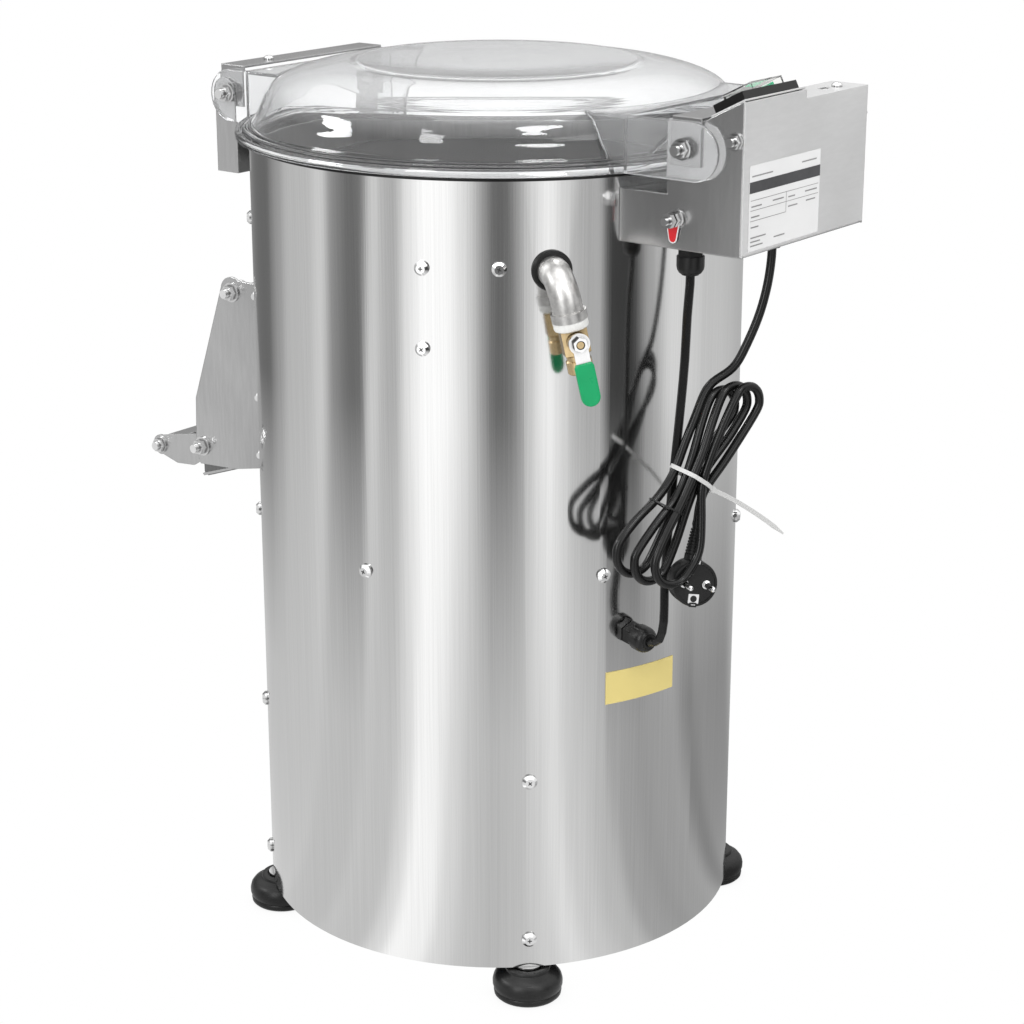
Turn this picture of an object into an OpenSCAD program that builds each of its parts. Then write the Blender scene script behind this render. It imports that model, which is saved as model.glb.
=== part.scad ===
// Electric potato peeler: a steel drum with a clear lid, a discharge chute, a control box and
// a belt-driven turntable. The drum's axis is Z, the floor is z = 0, the control box is at +X,
// the discharge chute at -X and the water inlet on the -Y side.

/* [Drum] */
// Outside diameter of the drum
drum_d = 430; // [410:1:450]
// Height of the drum's outer sheet
drum_h = 690; // [670:1:730]
// Thickness of the drum's outer sheet
shell_t = 1.5; // [1:0.1:2.5]
// Thickness of the chamber's inner wall
wall_t = 1.2; // [0.8:0.1:2]
// Thickness of the abrasive lining
lining_t = 3; // [2:0.5:5]
// Height of the drum's lower edge above the floor
drum_lift = 30; // [26:1:40]
// Height of the chamber floor's screws above the drum's lower edge
pan_h = 356; // [345:1:362]
// Depth of the rubber edge seal over the drum's sheet
seal_grip = 6; // [4:0.5:10]
// Width of the rubber seal on each side of the sheet
seal_lip = 4; // [3:0.5:6]

/* [Feet and legs] */
// Radius from the drum's axis to each foot
foot_circle_r = 206; // [196:1:208]
// Radius of a rubber foot
foot_r = 31; // [26:0.5:32]
// Width of a leg channel
leg_w = 44; // [36:1:60]
// Depth of a leg channel
leg_d = 28; // [24:1:40]
// Thickness of the leg channel's steel
leg_t = 3; // [2:0.5:5]

/* [Chute and door] */
// Clear width between the chute's side plates
chute_w = 188; // [180:1:196]
// Thickness of the chute's sheet
chute_t = 2; // [1.5:0.1:3]
// Width of the discharge window
window_w = 150; // [130:1:156]
// Height of the discharge window
window_h = 132; // [115:1:134]
// Height of the window's sill above the drum's lower edge
sill_h = 384; // [378:1:388]
// Diameter of the door's hinge pin
door_pin_d = 8; // [6:0.5:10]
// Thickness of the door's sheet
door_t = 2; // [1.5:0.1:3]
// Length of the lever from its bolt to its rod
lever_len = 63; // [56:1:75]
// Diameter of the lever's cross rod
lever_rod_d = 12; // [8:0.5:14]

/* [Lid] */
// Thickness of the clear lid
lid_t = 3; // [2:0.25:4]
// Thickness of the lid's cheeks
cheek_t = 4; // [3:0.25:5]
// Overhang of the lid's rim past the drum
rim_out = 12; // [8:0.5:14]
// Height of the dome's top above the drum's upper edge
dome_h = 68; // [62:1:75]
// Radius of the flat top of the dome
dome_flat_r = 125; // [110:1:135]
// Diameter of the hinge and latch bolts
pivot_d = 8; // [6:0.5:10]

/* [Control box] */
// Width of the control box
box_w = 184; // [176:1:190]
// Thickness of the box sheet
box_t = 1.5; // [1:0.1:2.5]
// Reach of the box past the drum
box_out = 95.5; // [88:0.5:110]
// Drop of the box's underside below the drum's upper edge
box_drop = 52; // [45:1:60]
// Rise of the box's top above the drum's upper edge
box_rise = 60; // [57:1:62]

/* [Drive] */
// Diameter of the drive shaft
shaft_d = 25; // [20:1:30]
// Diameter of the large pulley
pulley_d = 180; // [160:1:190]
// Diameter of the motor pulley
motor_pulley_d = 56; // [50:1:64]
// Distance between the shaft and the motor
motor_offset = 132; // [129:1:138]
// Diameter of the motor's body
motor_d = 130; // [120:1:136]
// Gap between the turntable and the lining
turntable_gap = 6; // [4:0.5:9]

/* [Water and drain] */
// Outside diameter of the inlet elbow
inlet_d = 25; // [22:0.5:28]
// Bend radius of the inlet elbow
inlet_bend = 22; // [18:0.5:26]
// Outside diameter of the drain pipe
drain_d = 50; // [40:1:55]
// Length of the drain spigot outside the drum
drain_out = 35; // [25:1:45]

/* [Cords] */
// Diameter of the motor cable and the mains lead
cord_d = 7.4; // [6.5:0.1:8]
// Diameter of a cable gland
gland_d = 22; // [19:0.5:25]

/* [Hidden] */

$fn = 96;
eps = 0.01;
run = 0.05;    // radial clearance of a running fit
gap = 0.3;     // clearance between neighbouring pieces
steel = [0.78, 0.78, 0.78];
dark_steel = [0.45, 0.45, 0.46];
rubber = [0.06, 0.06, 0.06];
clear_sheet = [0.85, 0.9, 0.92, 0.35];

drum_r = drum_d / 2;
drum_z = drum_lift;                  // lower edge
drum_top = drum_lift + drum_h;       // upper edge
shell_in = drum_r - shell_t;
wall_r = shell_in - gap;
lining_r = wall_r - wall_t - gap;
chamber_r = lining_r - lining_t;
pan_screw_z = drum_z + pan_h;
pan_t = 2;
pan_z = pan_screw_z - 14;            // underside of the pan
pan_flange_top = pan_screw_z + 9;
sill_z = drum_z + sill_h;
window_top = sill_z + window_h;
inlet_phi = -40.5;                   // direction of the water inlet
inlet_z = drum_top - 72;
inlet_tilt = 12.5;                   // lean of the down pipe
inlet_leg = 12;                      // straight part before the bend
axis_out = inlet_leg + inlet_bend;   // the down pipe's distance from the drum
gland_phi = -20.5;
gland_z = drum_z + 300;

module around(phi, r = 0, z = 0) rotate([0, 0, phi]) translate([r, 0, z]) children();
module tube(r, t, h) difference() {
  cylinder(r = r, h = h);
  translate([0, 0, -eps]) cylinder(r = r - t, h = h + 2 * eps);
}
module along_y(w) rotate([90, 0, 0]) translate([0, 0, -w / 2]) linear_extrude(w) children();
module rod_y(r, w) rotate([90, 0, 0]) translate([0, 0, -w / 2]) cylinder(r = r, h = w);
// A domed screw whose head stands outwards along +X from the origin
module dome_screw(head_r, head_h, shank_r, shank) {
  rotate([0, 90, 0]) union() {
    cylinder(r = head_r, h = head_h * 0.45);
    translate([0, 0, head_h * 0.45]) cylinder(r1 = head_r, r2 = head_r * 0.62, h = head_h * 0.55);
    translate([0, 0, -shank]) cylinder(r = shank_r, h = shank + eps);
  }
}
// A bolt end with a washer, a hexagon nut and a domed tip, standing along +Z
module nut_end(r, washer_r, h) {
  cylinder(r = washer_r, h = 1.6);
  translate([0, 0, 1.6 - eps]) cylinder(r = r * 1.75, h = h * 0.45, $fn = 6);
  translate([0, 0, 1.6 + h * 0.45 - 2 * eps]) cylinder(r = r, h = h * 0.4);
}

// ---- Drum ----
module window_cut(margin = 0) {
  translate([-drum_r - 20, -window_w / 2 - margin, sill_z - margin])
    cube([60, window_w + 2 * margin, window_h + 2 * margin]);
}
module screw_hole() rotate([0, 90, 0]) translate([0, 0, -10]) cylinder(r = 3 + run, h = 20);
module foot_places() for (phi = [-135, -45, 45, 135]) around(phi, foot_circle_r) children();
foot_mid = 7;                        // height of the foot's widest part
module drum_shell() color(steel) difference() {
  translate([0, 0, drum_z]) tube(drum_r, shell_t, drum_h);
  window_cut();
  around(inlet_phi, 0, inlet_z) rotate([0, 90, 0]) cylinder(r = inlet_d / 2 + 2, h = drum_r + 10);
  around(gland_phi, 0, gland_z) rotate([0, 90, 0]) cylinder(r = gland_d * 0.36, h = drum_r + 10);
  around(90, 0, drain_z) rotate([0, 90, 0]) cylinder(r = drain_d / 2 + gap, h = drum_r + 10);
  drum_screw_places() screw_hole();
  foot_bolt_places() screw_hole();
}
seal_top = drum_top + 3.6;
module drum_seal() color(rubber) rotate_extrude() difference() {
  translate([shell_in - seal_lip, drum_top - seal_grip])
    square([shell_t + 2 * seal_lip, seal_top - drum_top + seal_grip]);
  translate([shell_in - 0.1, drum_top - seal_grip - eps]) square([shell_t + 0.2, seal_grip + eps]);
}
module chamber_wall() color(steel) difference() {
  translate([0, 0, pan_flange_top + gap])
    tube(wall_r, wall_t, drum_top - seal_grip - pan_flange_top - 2 * gap);
  window_cut();
  around(inlet_phi, 0, inlet_z) rotate([0, 90, 0]) cylinder(r = inlet_d / 2 + 2, h = drum_r + 10);
  drum_screw_places() screw_hole();
}
module abrasive_lining() color([0.2, 0.2, 0.19]) difference() {
  translate([0, 0, pan_flange_top + 5]) tube(lining_r, lining_t, drum_top - 40 - pan_flange_top);
  window_cut(1);
  around(inlet_phi, 0, inlet_z) rotate([0, 90, 0]) cylinder(r = inlet_d / 2 + 3, h = drum_r + 10);
}
drain_r = chamber_r - 44;            // radius at which the drain leaves the pan
module chamber_floor() color(steel) difference() {
  translate([0, 0, pan_z]) union() {
    cylinder(r = shell_in - gap, h = pan_t);
    tube(shell_in - gap, wall_t, pan_flange_top - pan_z);
  }
  translate([0, 0, pan_z - 1]) cylinder(r = seal_r, h = pan_t + 2);
  around(90, drain_r, pan_z - 1) cylinder(r = drain_d / 2 - 2.5, h = pan_t + 2);
  drum_screw_places() screw_hole();
}

// ---- Legs and feet ----
foot_h = drum_lift - 2;
leg_base = drum_lift;                // underside of a leg
deck_rise = 206;                     // height of the motor deck over the drum's lower edge
deck_z = drum_z + deck_rise;         // underside of the motor deck
leg_back = sqrt(pow(shell_in - gap, 2) - pow(leg_w / 2, 2));
module legs() color(dark_steel) for (phi = [-135, -45, 45, 135]) around(phi) difference() {
  translate([leg_back - leg_d, -leg_w / 2, leg_base]) cube([leg_d, leg_w, deck_z - leg_base]);
  translate([leg_back - leg_d - 1, -leg_w / 2 + leg_t, leg_base + leg_t])
    cube([leg_d - leg_t + 1, leg_w - 2 * leg_t, deck_z - leg_base]);
  translate([foot_circle_r, 0, leg_base - 1]) cylinder(r = stud_r + run, h = 7);
  translate([leg_back - leg_t - 1, -11, leg_base + leg_t]) cube([leg_t + 2, 22, 16]);
  foot_bolt_heights() translate([leg_back - 6, 0, 0]) rotate([0, 90, 0])
    cylinder(r = 3 + run, h = 12);
}
stud_r = 4;
module feet() color(rubber) foot_places() difference() {
  intersection() {
    union() {
      translate([0, 0, foot_mid]) sphere(r = foot_r);
      cylinder(r1 = foot_r * 0.74, r2 = foot_r * 0.97, h = foot_mid);
    }
    cylinder(r = foot_r + 1, h = foot_h);
  }
  translate([0, 0, -6]) sphere(r = 14);
  translate([0, 0, 6]) cylinder(r = stud_r + 2 * eps, h = 60);
  for (s = [0 : 11]) rotate([0, 0, s * 30]) translate([foot_r + 1.2, 0, foot_mid + 6])
    cylinder(r = 2.2, h = 5);
}
module foot_studs() color(steel) foot_places() {
  translate([0, 0, 10]) cylinder(r = stud_r, h = leg_base + 4);
  translate([0, 0, foot_h]) cylinder(r = 13, h = leg_base - foot_h);
  translate([0, 0, leg_base + leg_t]) rotate([0, 0, 30]) cylinder(r = 7, h = 7, $fn = 6);
}
module foot_bolt_heights() for (z = [27, 176]) translate([0, 0, drum_z + z]) children();
module foot_bolt_places() for (phi = [-135, -45, 45, 135])
  foot_bolt_heights() around(phi, drum_r) children();
module foot_bolts() color(steel) foot_bolt_places() {
  dome_screw(6.5, 4.5, 3, drum_r - leg_back + leg_t + 8);
  translate([leg_back - drum_r - leg_t, 0, 0]) rotate([0, -90, 0]) cylinder(r = 5.5, h = 5, $fn = 6);
}
// The chamber floor's ring of screws, and the bolts that hold the lining
module drum_screw_places() {
  for (phi = [-138, -83, -28, 28, 83, 138]) around(phi, drum_r, pan_screw_z) children();
  for (phi = [-68.3, 68.3]) for (z = [71, 137]) around(phi, drum_r, drum_top - z) children();
  for (phi = [-51.7, -141, 141]) around(phi, drum_r, drum_top - 70) children();
}
module drum_screws() color(steel) drum_screw_places()
  dome_screw(6, 4.5, 3, shell_t + wall_t + gap);

// ---- Drain ----
drain_bend = 40;
drain_drop = 14;
drain_z = pan_z - drain_drop - drain_bend;
module drain_path(r) {
  translate([0, drain_r, pan_z - drain_drop]) cylinder(r = r, h = drain_drop);
  translate([0, drain_r + drain_bend, pan_z - drain_drop]) rotate([0, 90, 0])
    rotate_extrude(angle = -90) translate([drain_bend, 0]) circle(r = r, $fn = 48);
  translate([0, drain_r + drain_bend, drain_z]) rotate([-90, 0, 0])
    cylinder(r = r, h = drum_r + drain_out - 0.5 - drain_r - drain_bend);
}
drain_collar = 3;                    // the spigot starts at this height over the drum's side
module drain_pipe() color([0.35, 0.35, 0.36]) difference() {
  union() {
    drain_path(drain_d / 2 - 0.5);
    translate([0, drain_r, pan_z - 3]) cylinder(r = drain_d / 2 + 7, h = 3);
    translate([0, drum_r + gap, drain_z]) rotate([-90, 0, 0]) {
      cylinder(r = drain_d / 2 + 6, h = drain_collar - gap);
      cylinder(r = drain_d / 2, h = drain_out - gap);
    }
  }
  drain_path(drain_d / 2 - 2.5);
  translate([0, drum_r + drain_out - 1, drain_z]) rotate([-90, 0, 0])
    cylinder(r = drain_d / 2 - 2.5, h = 5);
  translate([0, drain_r, pan_z - 1]) cylinder(r = drain_d / 2 - 2.5, h = 5);
}

// ---- Turntable and its bearings ----
shaft_r = shaft_d / 2;
bearing_r = shaft_r + 13.5;
bearing_h = 15;
seal_r = shaft_r + 8;
housing_h = 82;
housing_z = pan_z - housing_h;
module bearing_housing() color([0.3, 0.34, 0.38]) difference() {
  union() {
    translate([0, 0, housing_z]) cylinder(r = bearing_r + 9, h = housing_h);
    translate([0, 0, pan_z - 9]) cylinder(r = bearing_r + 34, h = 9);
    for (k = [0 : 5]) rotate([0, 0, k * 60]) translate([bearing_r + 8, -3, pan_z - 50])
      intersection() {
        cube([24, 6, 42]);
        rotate([-90, 0, 0]) translate([0, 0, -1]) linear_extrude(8)
          polygon([[-1, 1], [-1, -43], [24, -43], [24, -30], [4, 1]]);
      }
  }
  translate([0, 0, housing_z - 1]) cylinder(r = bearing_r, h = bearing_h + 3);
  translate([0, 0, pan_z - bearing_h - 2]) cylinder(r = bearing_r, h = bearing_h + 3);
  translate([0, 0, housing_z - 1]) cylinder(r = bearing_r - 4, h = housing_h + 2);
  for (k = [0 : 5]) rotate([0, 0, k * 60 + 30]) translate([bearing_r + 25, 0, pan_z - 10])
    cylinder(r = 4, h = 11);
}
module bearings() color(steel) for (z = [housing_z + 2, pan_z - bearing_h - 2])
  translate([0, 0, z]) rotate_extrude() difference() {
    translate([shaft_r + run, 0]) square([bearing_r - shaft_r - run, bearing_h]);
    for (side = [-1.5, bearing_h - 1]) translate([shaft_r + 4, side])
      square([bearing_r - shaft_r - 8, 2.5]);
  }
module shaft_seal() color(rubber) translate([0, 0, pan_z]) rotate_extrude() difference() {
  translate([shaft_r + gap, 0]) square([seal_r - shaft_r - gap, pan_t + 6]);
  translate([shaft_r + 3, pan_t + 2]) square([3, 6]);
}
disc_r = chamber_r - turntable_gap;
disc_t = 9;
disc_top = sill_z - 4;
disc_z = disc_top - disc_t;
hub_top = disc_top + 6;
ridge_rise = 13;
ridge_r = 40;
module drive_shaft() color(steel) {
  translate([0, 0, pulley_z - 12]) cylinder(r = shaft_r, h = hub_top - pulley_z + 12);
  translate([0, 0, hub_top - eps]) cylinder(r = shaft_r - 3, h = 12);
}
module turntable() color([0.24, 0.23, 0.22]) difference() {
  union() {
    translate([0, 0, disc_z]) cylinder(r = disc_r, h = disc_t);
    translate([0, 0, disc_z - 8]) tube(disc_r, 4, 8 + eps);
    translate([0, 0, disc_z - 12]) cylinder(r = shaft_r + 16, h = hub_top - disc_z + 12);
    intersection() {
      for (k = [0 : 2]) rotate([0, 0, k * 120 + 15]) difference() {
        translate([shaft_r + 14, 0, disc_top + ridge_rise - ridge_r]) rotate([0, 90, 0])
          cylinder(r = ridge_r, h = disc_r - shaft_r - 30);
        translate([0, -ridge_r - 1, disc_top - 1.5 - 2 * ridge_r])
          cube([disc_r, 2 * ridge_r + 2, 2 * ridge_r]);
      }
      cylinder(r = disc_r - 3, h = disc_top + 60);
    }
  }
  translate([0, 0, disc_z - 13]) cylinder(r = shaft_r, h = 60);
}
module hub_nut() color(steel) translate([0, 0, hub_top]) difference() {
  union() {
    cylinder(r = shaft_r + 6, h = 2);
    translate([0, 0, 2 - eps]) cylinder(r = shaft_r + 3, h = 10, $fn = 6);
    translate([0, 0, 12 - 2 * eps]) cylinder(r1 = shaft_r, r2 = shaft_r - 6, h = 6);
  }
  translate([0, 0, -1]) cylinder(r = shaft_r - 3, h = 13);
}

// ---- Belt drive and motor ----
belt_w = 13;
groove_d = 11;
pulley_h = 20;
pulley_z = deck_z + 22;
motor_x = -motor_offset;
module v_pulley(d, bore, hub) rotate_extrude() difference() {
  translate([bore, 0]) square([d / 2 - bore, pulley_h]);
  polygon([[d / 2 + eps, pulley_h / 2 - belt_w / 2], [d / 2 + eps, pulley_h / 2 + belt_w / 2],
    [d / 2 - groove_d, pulley_h / 2 + belt_w / 3.2], [d / 2 - groove_d, pulley_h / 2 - belt_w / 3.2]]);
  if (d / 2 - groove_d - 6 > hub)
    translate([hub, pulley_h / 2 + 3]) square([d / 2 - groove_d - 6 - hub, pulley_h]);
  if (d / 2 - groove_d - 6 > hub)
    translate([hub, -pulley_h / 2 - 3]) square([d / 2 - groove_d - 6 - hub, pulley_h]);
}
module large_pulley() color([0.5, 0.5, 0.5]) translate([0, 0, pulley_z]) difference() {
  v_pulley(pulley_d, shaft_r, shaft_r + 14);
  for (k = [0 : 4]) rotate([0, 0, k * 72]) translate([(pulley_d / 2 + shaft_r) / 2, 0, -1])
    cylinder(r = 10, h = pulley_h + 2);
}
motor_shaft_r = 7;
module motor_pulley() color([0.5, 0.5, 0.5]) translate([motor_x, 0, pulley_z])
  v_pulley(motor_pulley_d, motor_shaft_r, motor_shaft_r + 9);
motor_len = 150;
fan_h = 36;                          // height of the motor's fan cover
flange_h = 12;
neck_r = 30;                         // the motor's spigot through its deck
terminal_box = [24, 60, 60];
motor_z = deck_z - motor_len;
module motor_shaft() color(steel) translate([motor_x, 0, deck_z + 5.3])
  cylinder(r = motor_shaft_r - 2 * eps, h = pulley_z + pulley_h + 2 - deck_z - 5.3);
module motor() color([0.2, 0.3, 0.38]) translate([motor_x, 0, motor_z]) difference() {
  union() {
    translate([0, 0, fan_h - 2]) cylinder(r = motor_d / 2 - 6, h = motor_len - fan_h + 2);
    for (k = [0 : 23]) rotate([0, 0, k * 15]) translate([motor_d / 2 - 8, -1, fan_h + 6])
      cube([8, 2, motor_len - fan_h - 2 * flange_h]);
    translate([0, 0, motor_len - flange_h]) cylinder(r = motor_d / 2, h = flange_h);
    cylinder(r = motor_d / 2 - 2, h = fan_h);
    translate([0, 0, motor_len - eps]) cylinder(r = neck_r, h = 5);
    translate([motor_d / 2 - 10, -terminal_box[1] / 2, fan_h + 24]) cube(terminal_box);
  }
  for (k = [0 : 11]) rotate([0, 0, k * 30]) translate([28, 0, -1]) cylinder(r = 5, h = 4);
}
access_at = 0.56 * drum_r;           // holes through which the belt is reached
access_r = 38;
module motor_deck() color(dark_steel) translate([0, 0, deck_z]) difference() {
  cylinder(r = shell_in - gap, h = 4);
  translate([0, 0, -1]) cylinder(r = shaft_r + 20, h = 6);
  translate([motor_x, 0, -1]) cylinder(r = neck_r + gap, h = 6);
  for (phi = [-40, 40]) around(phi, access_at, -1) cylinder(r = access_r, h = 6);
}
belt_out = 0.5;
// A closed V-belt round both pulleys
module belt_outline(off) hull() {
  circle(r = pulley_d / 2 + off, $fn = 64);
  translate([motor_x, 0]) circle(r = motor_pulley_d / 2 + off, $fn = 32);
}
module drive_belt() color(rubber)
  translate([0, 0, pulley_z + pulley_h / 2 - belt_w / 3.2 + 0.6]) linear_extrude(2 * belt_w / 3.2 - 1.2)
    difference() {
      belt_outline(belt_out);
      belt_outline(-groove_d + 1.5);
    }

// ---- Chute and door ----
plate_in = chute_w / 2;
frame_x = drum_r + 2;                // the window frame's inner face, measured towards -X
door_hinge = [-(drum_r + 19), window_top + 20.5];
lever_pivot = [-(drum_r + 64), sill_z - 2];
chute_edge = sqrt(drum_r * drum_r - plate_in * plate_in) + gap;
chute_top = window_top + 32;
chute_low = sill_z - 8;
// The side plate's outline in X and Z, with a rounded top corner
module plate_outline() union() {
  polygon([[-chute_edge, chute_low], [-chute_edge, chute_top], [door_hinge[0] - 2, chute_top],
    [door_hinge[0] - 14, door_hinge[1] + 2], [-(drum_r + 71), sill_z + 44],
    [-(drum_r + 73), sill_z - 8], [-(drum_r + 68), sill_z - 20], [-(drum_r + 22), sill_z - 17]]);
  translate([door_hinge[0], door_hinge[1]]) circle(r = 14);
}
lip_drop = 20;
floor_in = -(drum_r - 9);
module chute() color(steel) difference() {
  union() {
    for (s = [-1, 1]) translate([0, s * (plate_in + chute_t / 2), 0]) along_y(chute_t) plate_outline();
    difference() {
      translate([-frame_x - chute_t, -plate_in - eps, sill_z - 8])
        cube([chute_t, chute_w + 2 * eps, window_h + 34]);
      window_cut();
    }
    difference() {
      along_y(chute_w + 2 * eps) polygon([[floor_in, sill_z - 4], [floor_in, sill_z - 4 - chute_t],
        [-(drum_r + 66), sill_z - 30 - chute_t], [-(drum_r + 68), sill_z - 30]]);
      translate([0, 0, sill_z - 60]) cylinder(r = drum_r + gap, h = 90);
    }
    difference() {
      translate([-frame_x, -plate_in - eps, chute_top - 4]) cube([30, chute_w + 2 * eps, chute_t]);
      translate([0, 0, chute_top - 30]) cylinder(r = drum_r + gap, h = 60);
    }
  }
  translate([door_hinge[0], 0, door_hinge[1]]) rod_y(door_pin_d / 2 + run, chute_w + 20);
  translate([lever_pivot[0], 0, lever_pivot[1]]) rod_y(pivot_d / 2 + run, chute_w + 20);
  chute_screw_places() rotate([0, 90, 0]) translate([0, 0, -5]) cylinder(r = 2 + run, h = 10);
}
module chute_screw_places() for (s = [-1, 1]) for (z = [21, -74, -129])
  translate([-(chute_edge + 10), s * (plate_in + chute_t), window_top + z]) rotate([0, 0, s * 90])
    children();
module chute_screws() color(steel) chute_screw_places() dome_screw(4.5, 3.6, 2, chute_t);
module door_pin() color(steel) translate([door_hinge[0], 0, door_hinge[1]]) {
  rod_y(door_pin_d / 2, chute_w + 2 * chute_t + 10);
  for (s = [-1, 1]) translate([0, s * (plate_in + chute_t), 0]) rotate([-s * 90, 0, 0])
    nut_end(door_pin_d / 2, 9, 12);
}
gasket_t = 2;
gasket_x = frame_x + chute_t + 0.2;  // the gasket's inner face, towards -X
door_x = gasket_x + gasket_t;        // the door's inner face
door_half = window_w / 2 + 9;
door_low = sill_z - 2;
door_high = window_top + 6;
module door() color(steel) difference() {
  union() {
    translate([-door_x - door_t, -door_half, door_low]) cube([door_t, 2 * door_half, door_high - door_low]);
    for (s = [-1, 1]) translate([0, s * (door_half - door_t / 2), 0]) along_y(door_t) union() {
      polygon([[-door_x, door_high], [-door_x, window_top - 26], [-door_x - 8, window_top - 26],
        [door_hinge[0] - 8, door_hinge[1] - 2], [door_hinge[0] + 6, door_hinge[1] + 7]]);
      translate([door_hinge[0], door_hinge[1]]) circle(r = 9);
    }
    translate([-door_x - 8, -door_half, door_low]) cube([8, 2 * door_half, door_t]);
  }
  translate([door_hinge[0], 0, door_hinge[1]]) rod_y(door_pin_d / 2 + run, chute_w);
}
module door_gasket() color(rubber) difference() {
  translate([-door_x, -door_half, door_low + 1])
    cube([gasket_t, 2 * door_half, door_high - door_low - 2]);
  translate([-door_x - 1, -window_w / 2 + 4, sill_z + 6])
    cube([gasket_t + 2, window_w - 8, window_h - 12]);
}
lever_tilt = 10;
lever_end = [lever_pivot[0] - lever_len * cos(lever_tilt), lever_pivot[1] - lever_len * sin(lever_tilt)];
lever_t = 2.5;
arm_mid = plate_in - 3 - lever_t / 2;
// One arm of the lever: straight on top, bellied below
module arm_outline() difference() {
  union() {
    translate(lever_pivot) circle(r = 11.8);
    translate(lever_end) circle(r = 9.6);
    translate(lever_pivot) rotate(180 + lever_tilt) polygon([[0, -11], [0, 11],
      [lever_len * 0.35, 20], [lever_len * 0.7, 18], [lever_len, 9], [lever_len, -9]]);
  }
}
module door_lever() color(steel) difference() {
  union() {
    for (s = [-1, 1]) translate([0, s * arm_mid, 0]) along_y(lever_t) arm_outline();
    translate([lever_pivot[0], 0, lever_pivot[1]]) rotate([0, -lever_tilt, 0])
      translate([-lever_len + 12, -arm_mid, 7.6]) cube([26, 2 * arm_mid, lever_t]);
  }
  translate([lever_pivot[0], 0, lever_pivot[1]]) rod_y(pivot_d / 2 + run, chute_w);
  translate([lever_end[0], 0, lever_end[1]]) rod_y(lever_rod_d / 2 - 2, chute_w);
}
module lever_rod() color(steel) translate([lever_end[0], 0, lever_end[1]]) {
  rod_y(lever_rod_d / 2, 2 * (arm_mid - lever_t / 2));
  rod_y(lever_rod_d / 2 - 2, 2 * (arm_mid + lever_t / 2) + 4);
  for (s = [-1, 1]) translate([0, s * (arm_mid + lever_t / 2), 0]) rotate([-s * 90, 0, 0])
    nut_end(lever_rod_d / 2 - 2, 8, 8);
}
module lever_bolts() color(steel) for (s = [-1, 1])
  translate([lever_pivot[0], s * (plate_in - 9), lever_pivot[1]]) rotate([-s * 90, 0, 0]) {
    cylinder(r = pivot_d / 2, h = 10 + chute_t);
    cylinder(r = pivot_d / 2 + 3, h = 3.2, $fn = 6);
    translate([0, 0, 9 + chute_t + 2 * eps]) nut_end(pivot_d / 2, 9, 14);
  }

// ---- Lid ----
rim_r = drum_r + rim_out;
rim_z = seal_top + gap;              // underside of the rim
rim_h = 9;
hinge_x = drum_r + 44;
latch_x = -(drum_r + 11);
pivot_z = drum_top + 29;
cheek_in = box_w / 2 + 4;            // inner face of a cheek
cheek_top = drum_top + 50;
cheek_low = rim_z;
wing_rear = drum_r - 10;             // the rear wing's end wall
wing_front = -(drum_r - 10);
// Outside of the dome from the rim to the apex
function dome_profile(o) = [[drum_r + 5, rim_z + rim_h - 3], [drum_r - 3 - o, rim_z + 12],
  [drum_r - 9 - o, rim_z + 22], [drum_r - 16 - o, drum_top + 43 - o], [drum_r - 27 - o, drum_top + 51.5 - o],
  [drum_r - 46 - o, drum_top + 58 - o], [drum_r - 70, drum_top + dome_h - 4 - o],
  [dome_flat_r, drum_top + dome_h - 2.5 - o], [dome_flat_r - 4, drum_top + dome_h - o],
  [0, drum_top + dome_h - o]];
module dome_solid(o, low) rotate_extrude() polygon(concat([[0, low], [drum_r + 5 - o * 2, low]],
  [for (p = dome_profile(o)) [p[0] - (p[0] > drum_r ? o * 2 : 0), p[1]]]));
module cheek(end_x, far) difference() {
  union() {
    translate([0, -cheek_t / 2, 0]) rotate([90, 0, 0]) translate([0, 0, -cheek_t])
      linear_extrude(cheek_t) polygon([[0, cheek_low], [end_x, cheek_low], [end_x, cheek_top], [0, cheek_top]]);
    translate([end_x, cheek_t / 2, (cheek_low + cheek_top) / 2]) rotate([90, 0, 0])
      cylinder(r = (cheek_top - cheek_low) / 2, h = cheek_t);
  }
  translate([far, 0, pivot_z]) rod_y(pivot_d / 2 + run, 3 * cheek_t);
}
module wing(end_x, wall_x, far) {
  for (s = [-1, 1]) translate([0, s * (cheek_in + cheek_t / 2), 0]) cheek(end_x, far);
  dir = sign(wall_x);
  translate([min(0, wall_x), -cheek_in - 1, cheek_top - lid_t])
    cube([abs(wall_x), 2 * cheek_in + 2, lid_t]);
  translate([dir > 0 ? wall_x - lid_t : wall_x, -cheek_in - 1, cheek_low])
    cube([lid_t, 2 * cheek_in + 2, cheek_top - cheek_low]);
}
module lid() color(clear_sheet) difference() {
  union() {
    dome_solid(0, rim_z);
    translate([0, 0, rim_z]) cylinder(r = rim_r, h = rim_h - 4);
    wing(hinge_x + 9, wing_rear, hinge_x);
    wing(latch_x + 2, wing_front, latch_x);
  }
  translate([0, 0, -eps]) dome_solid(lid_t, rim_z);
}
strap_t = 2;
strap_w = 27;
strap_z = drum_top + 51;             // underside of the straps' tops
module strap(x, ear_in, ear_drop) difference() {
  union() {
    translate([x - strap_w / 2, -ear_in - strap_t, strap_z])
      cube([strap_w, 2 * (ear_in + strap_t), strap_t]);
    for (s = [-1, 1]) translate([x, s * (ear_in + strap_t / 2), 0]) along_y(strap_t) union() {
      translate([-strap_w / 2, strap_z + strap_t - ear_drop]) square([strap_w, ear_drop - eps]);
    }
  }
  translate([x, 0, pivot_z]) rod_y(pivot_d / 2 + run, 3 * box_w);
  translate([x, -box_w / 4, strap_z - 1]) cylinder(r = 2 + run, h = 5);
}
module front_strap() color(steel) strap(latch_x, box_w / 2 - 1, 36);
module hinge_strap() color(steel) strap(hinge_x, box_w / 2 + gap, 38);
bail_out = 20;
bail_in = 5;
bail_low = drum_top - 43;
bail_t = 1.6;
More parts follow.
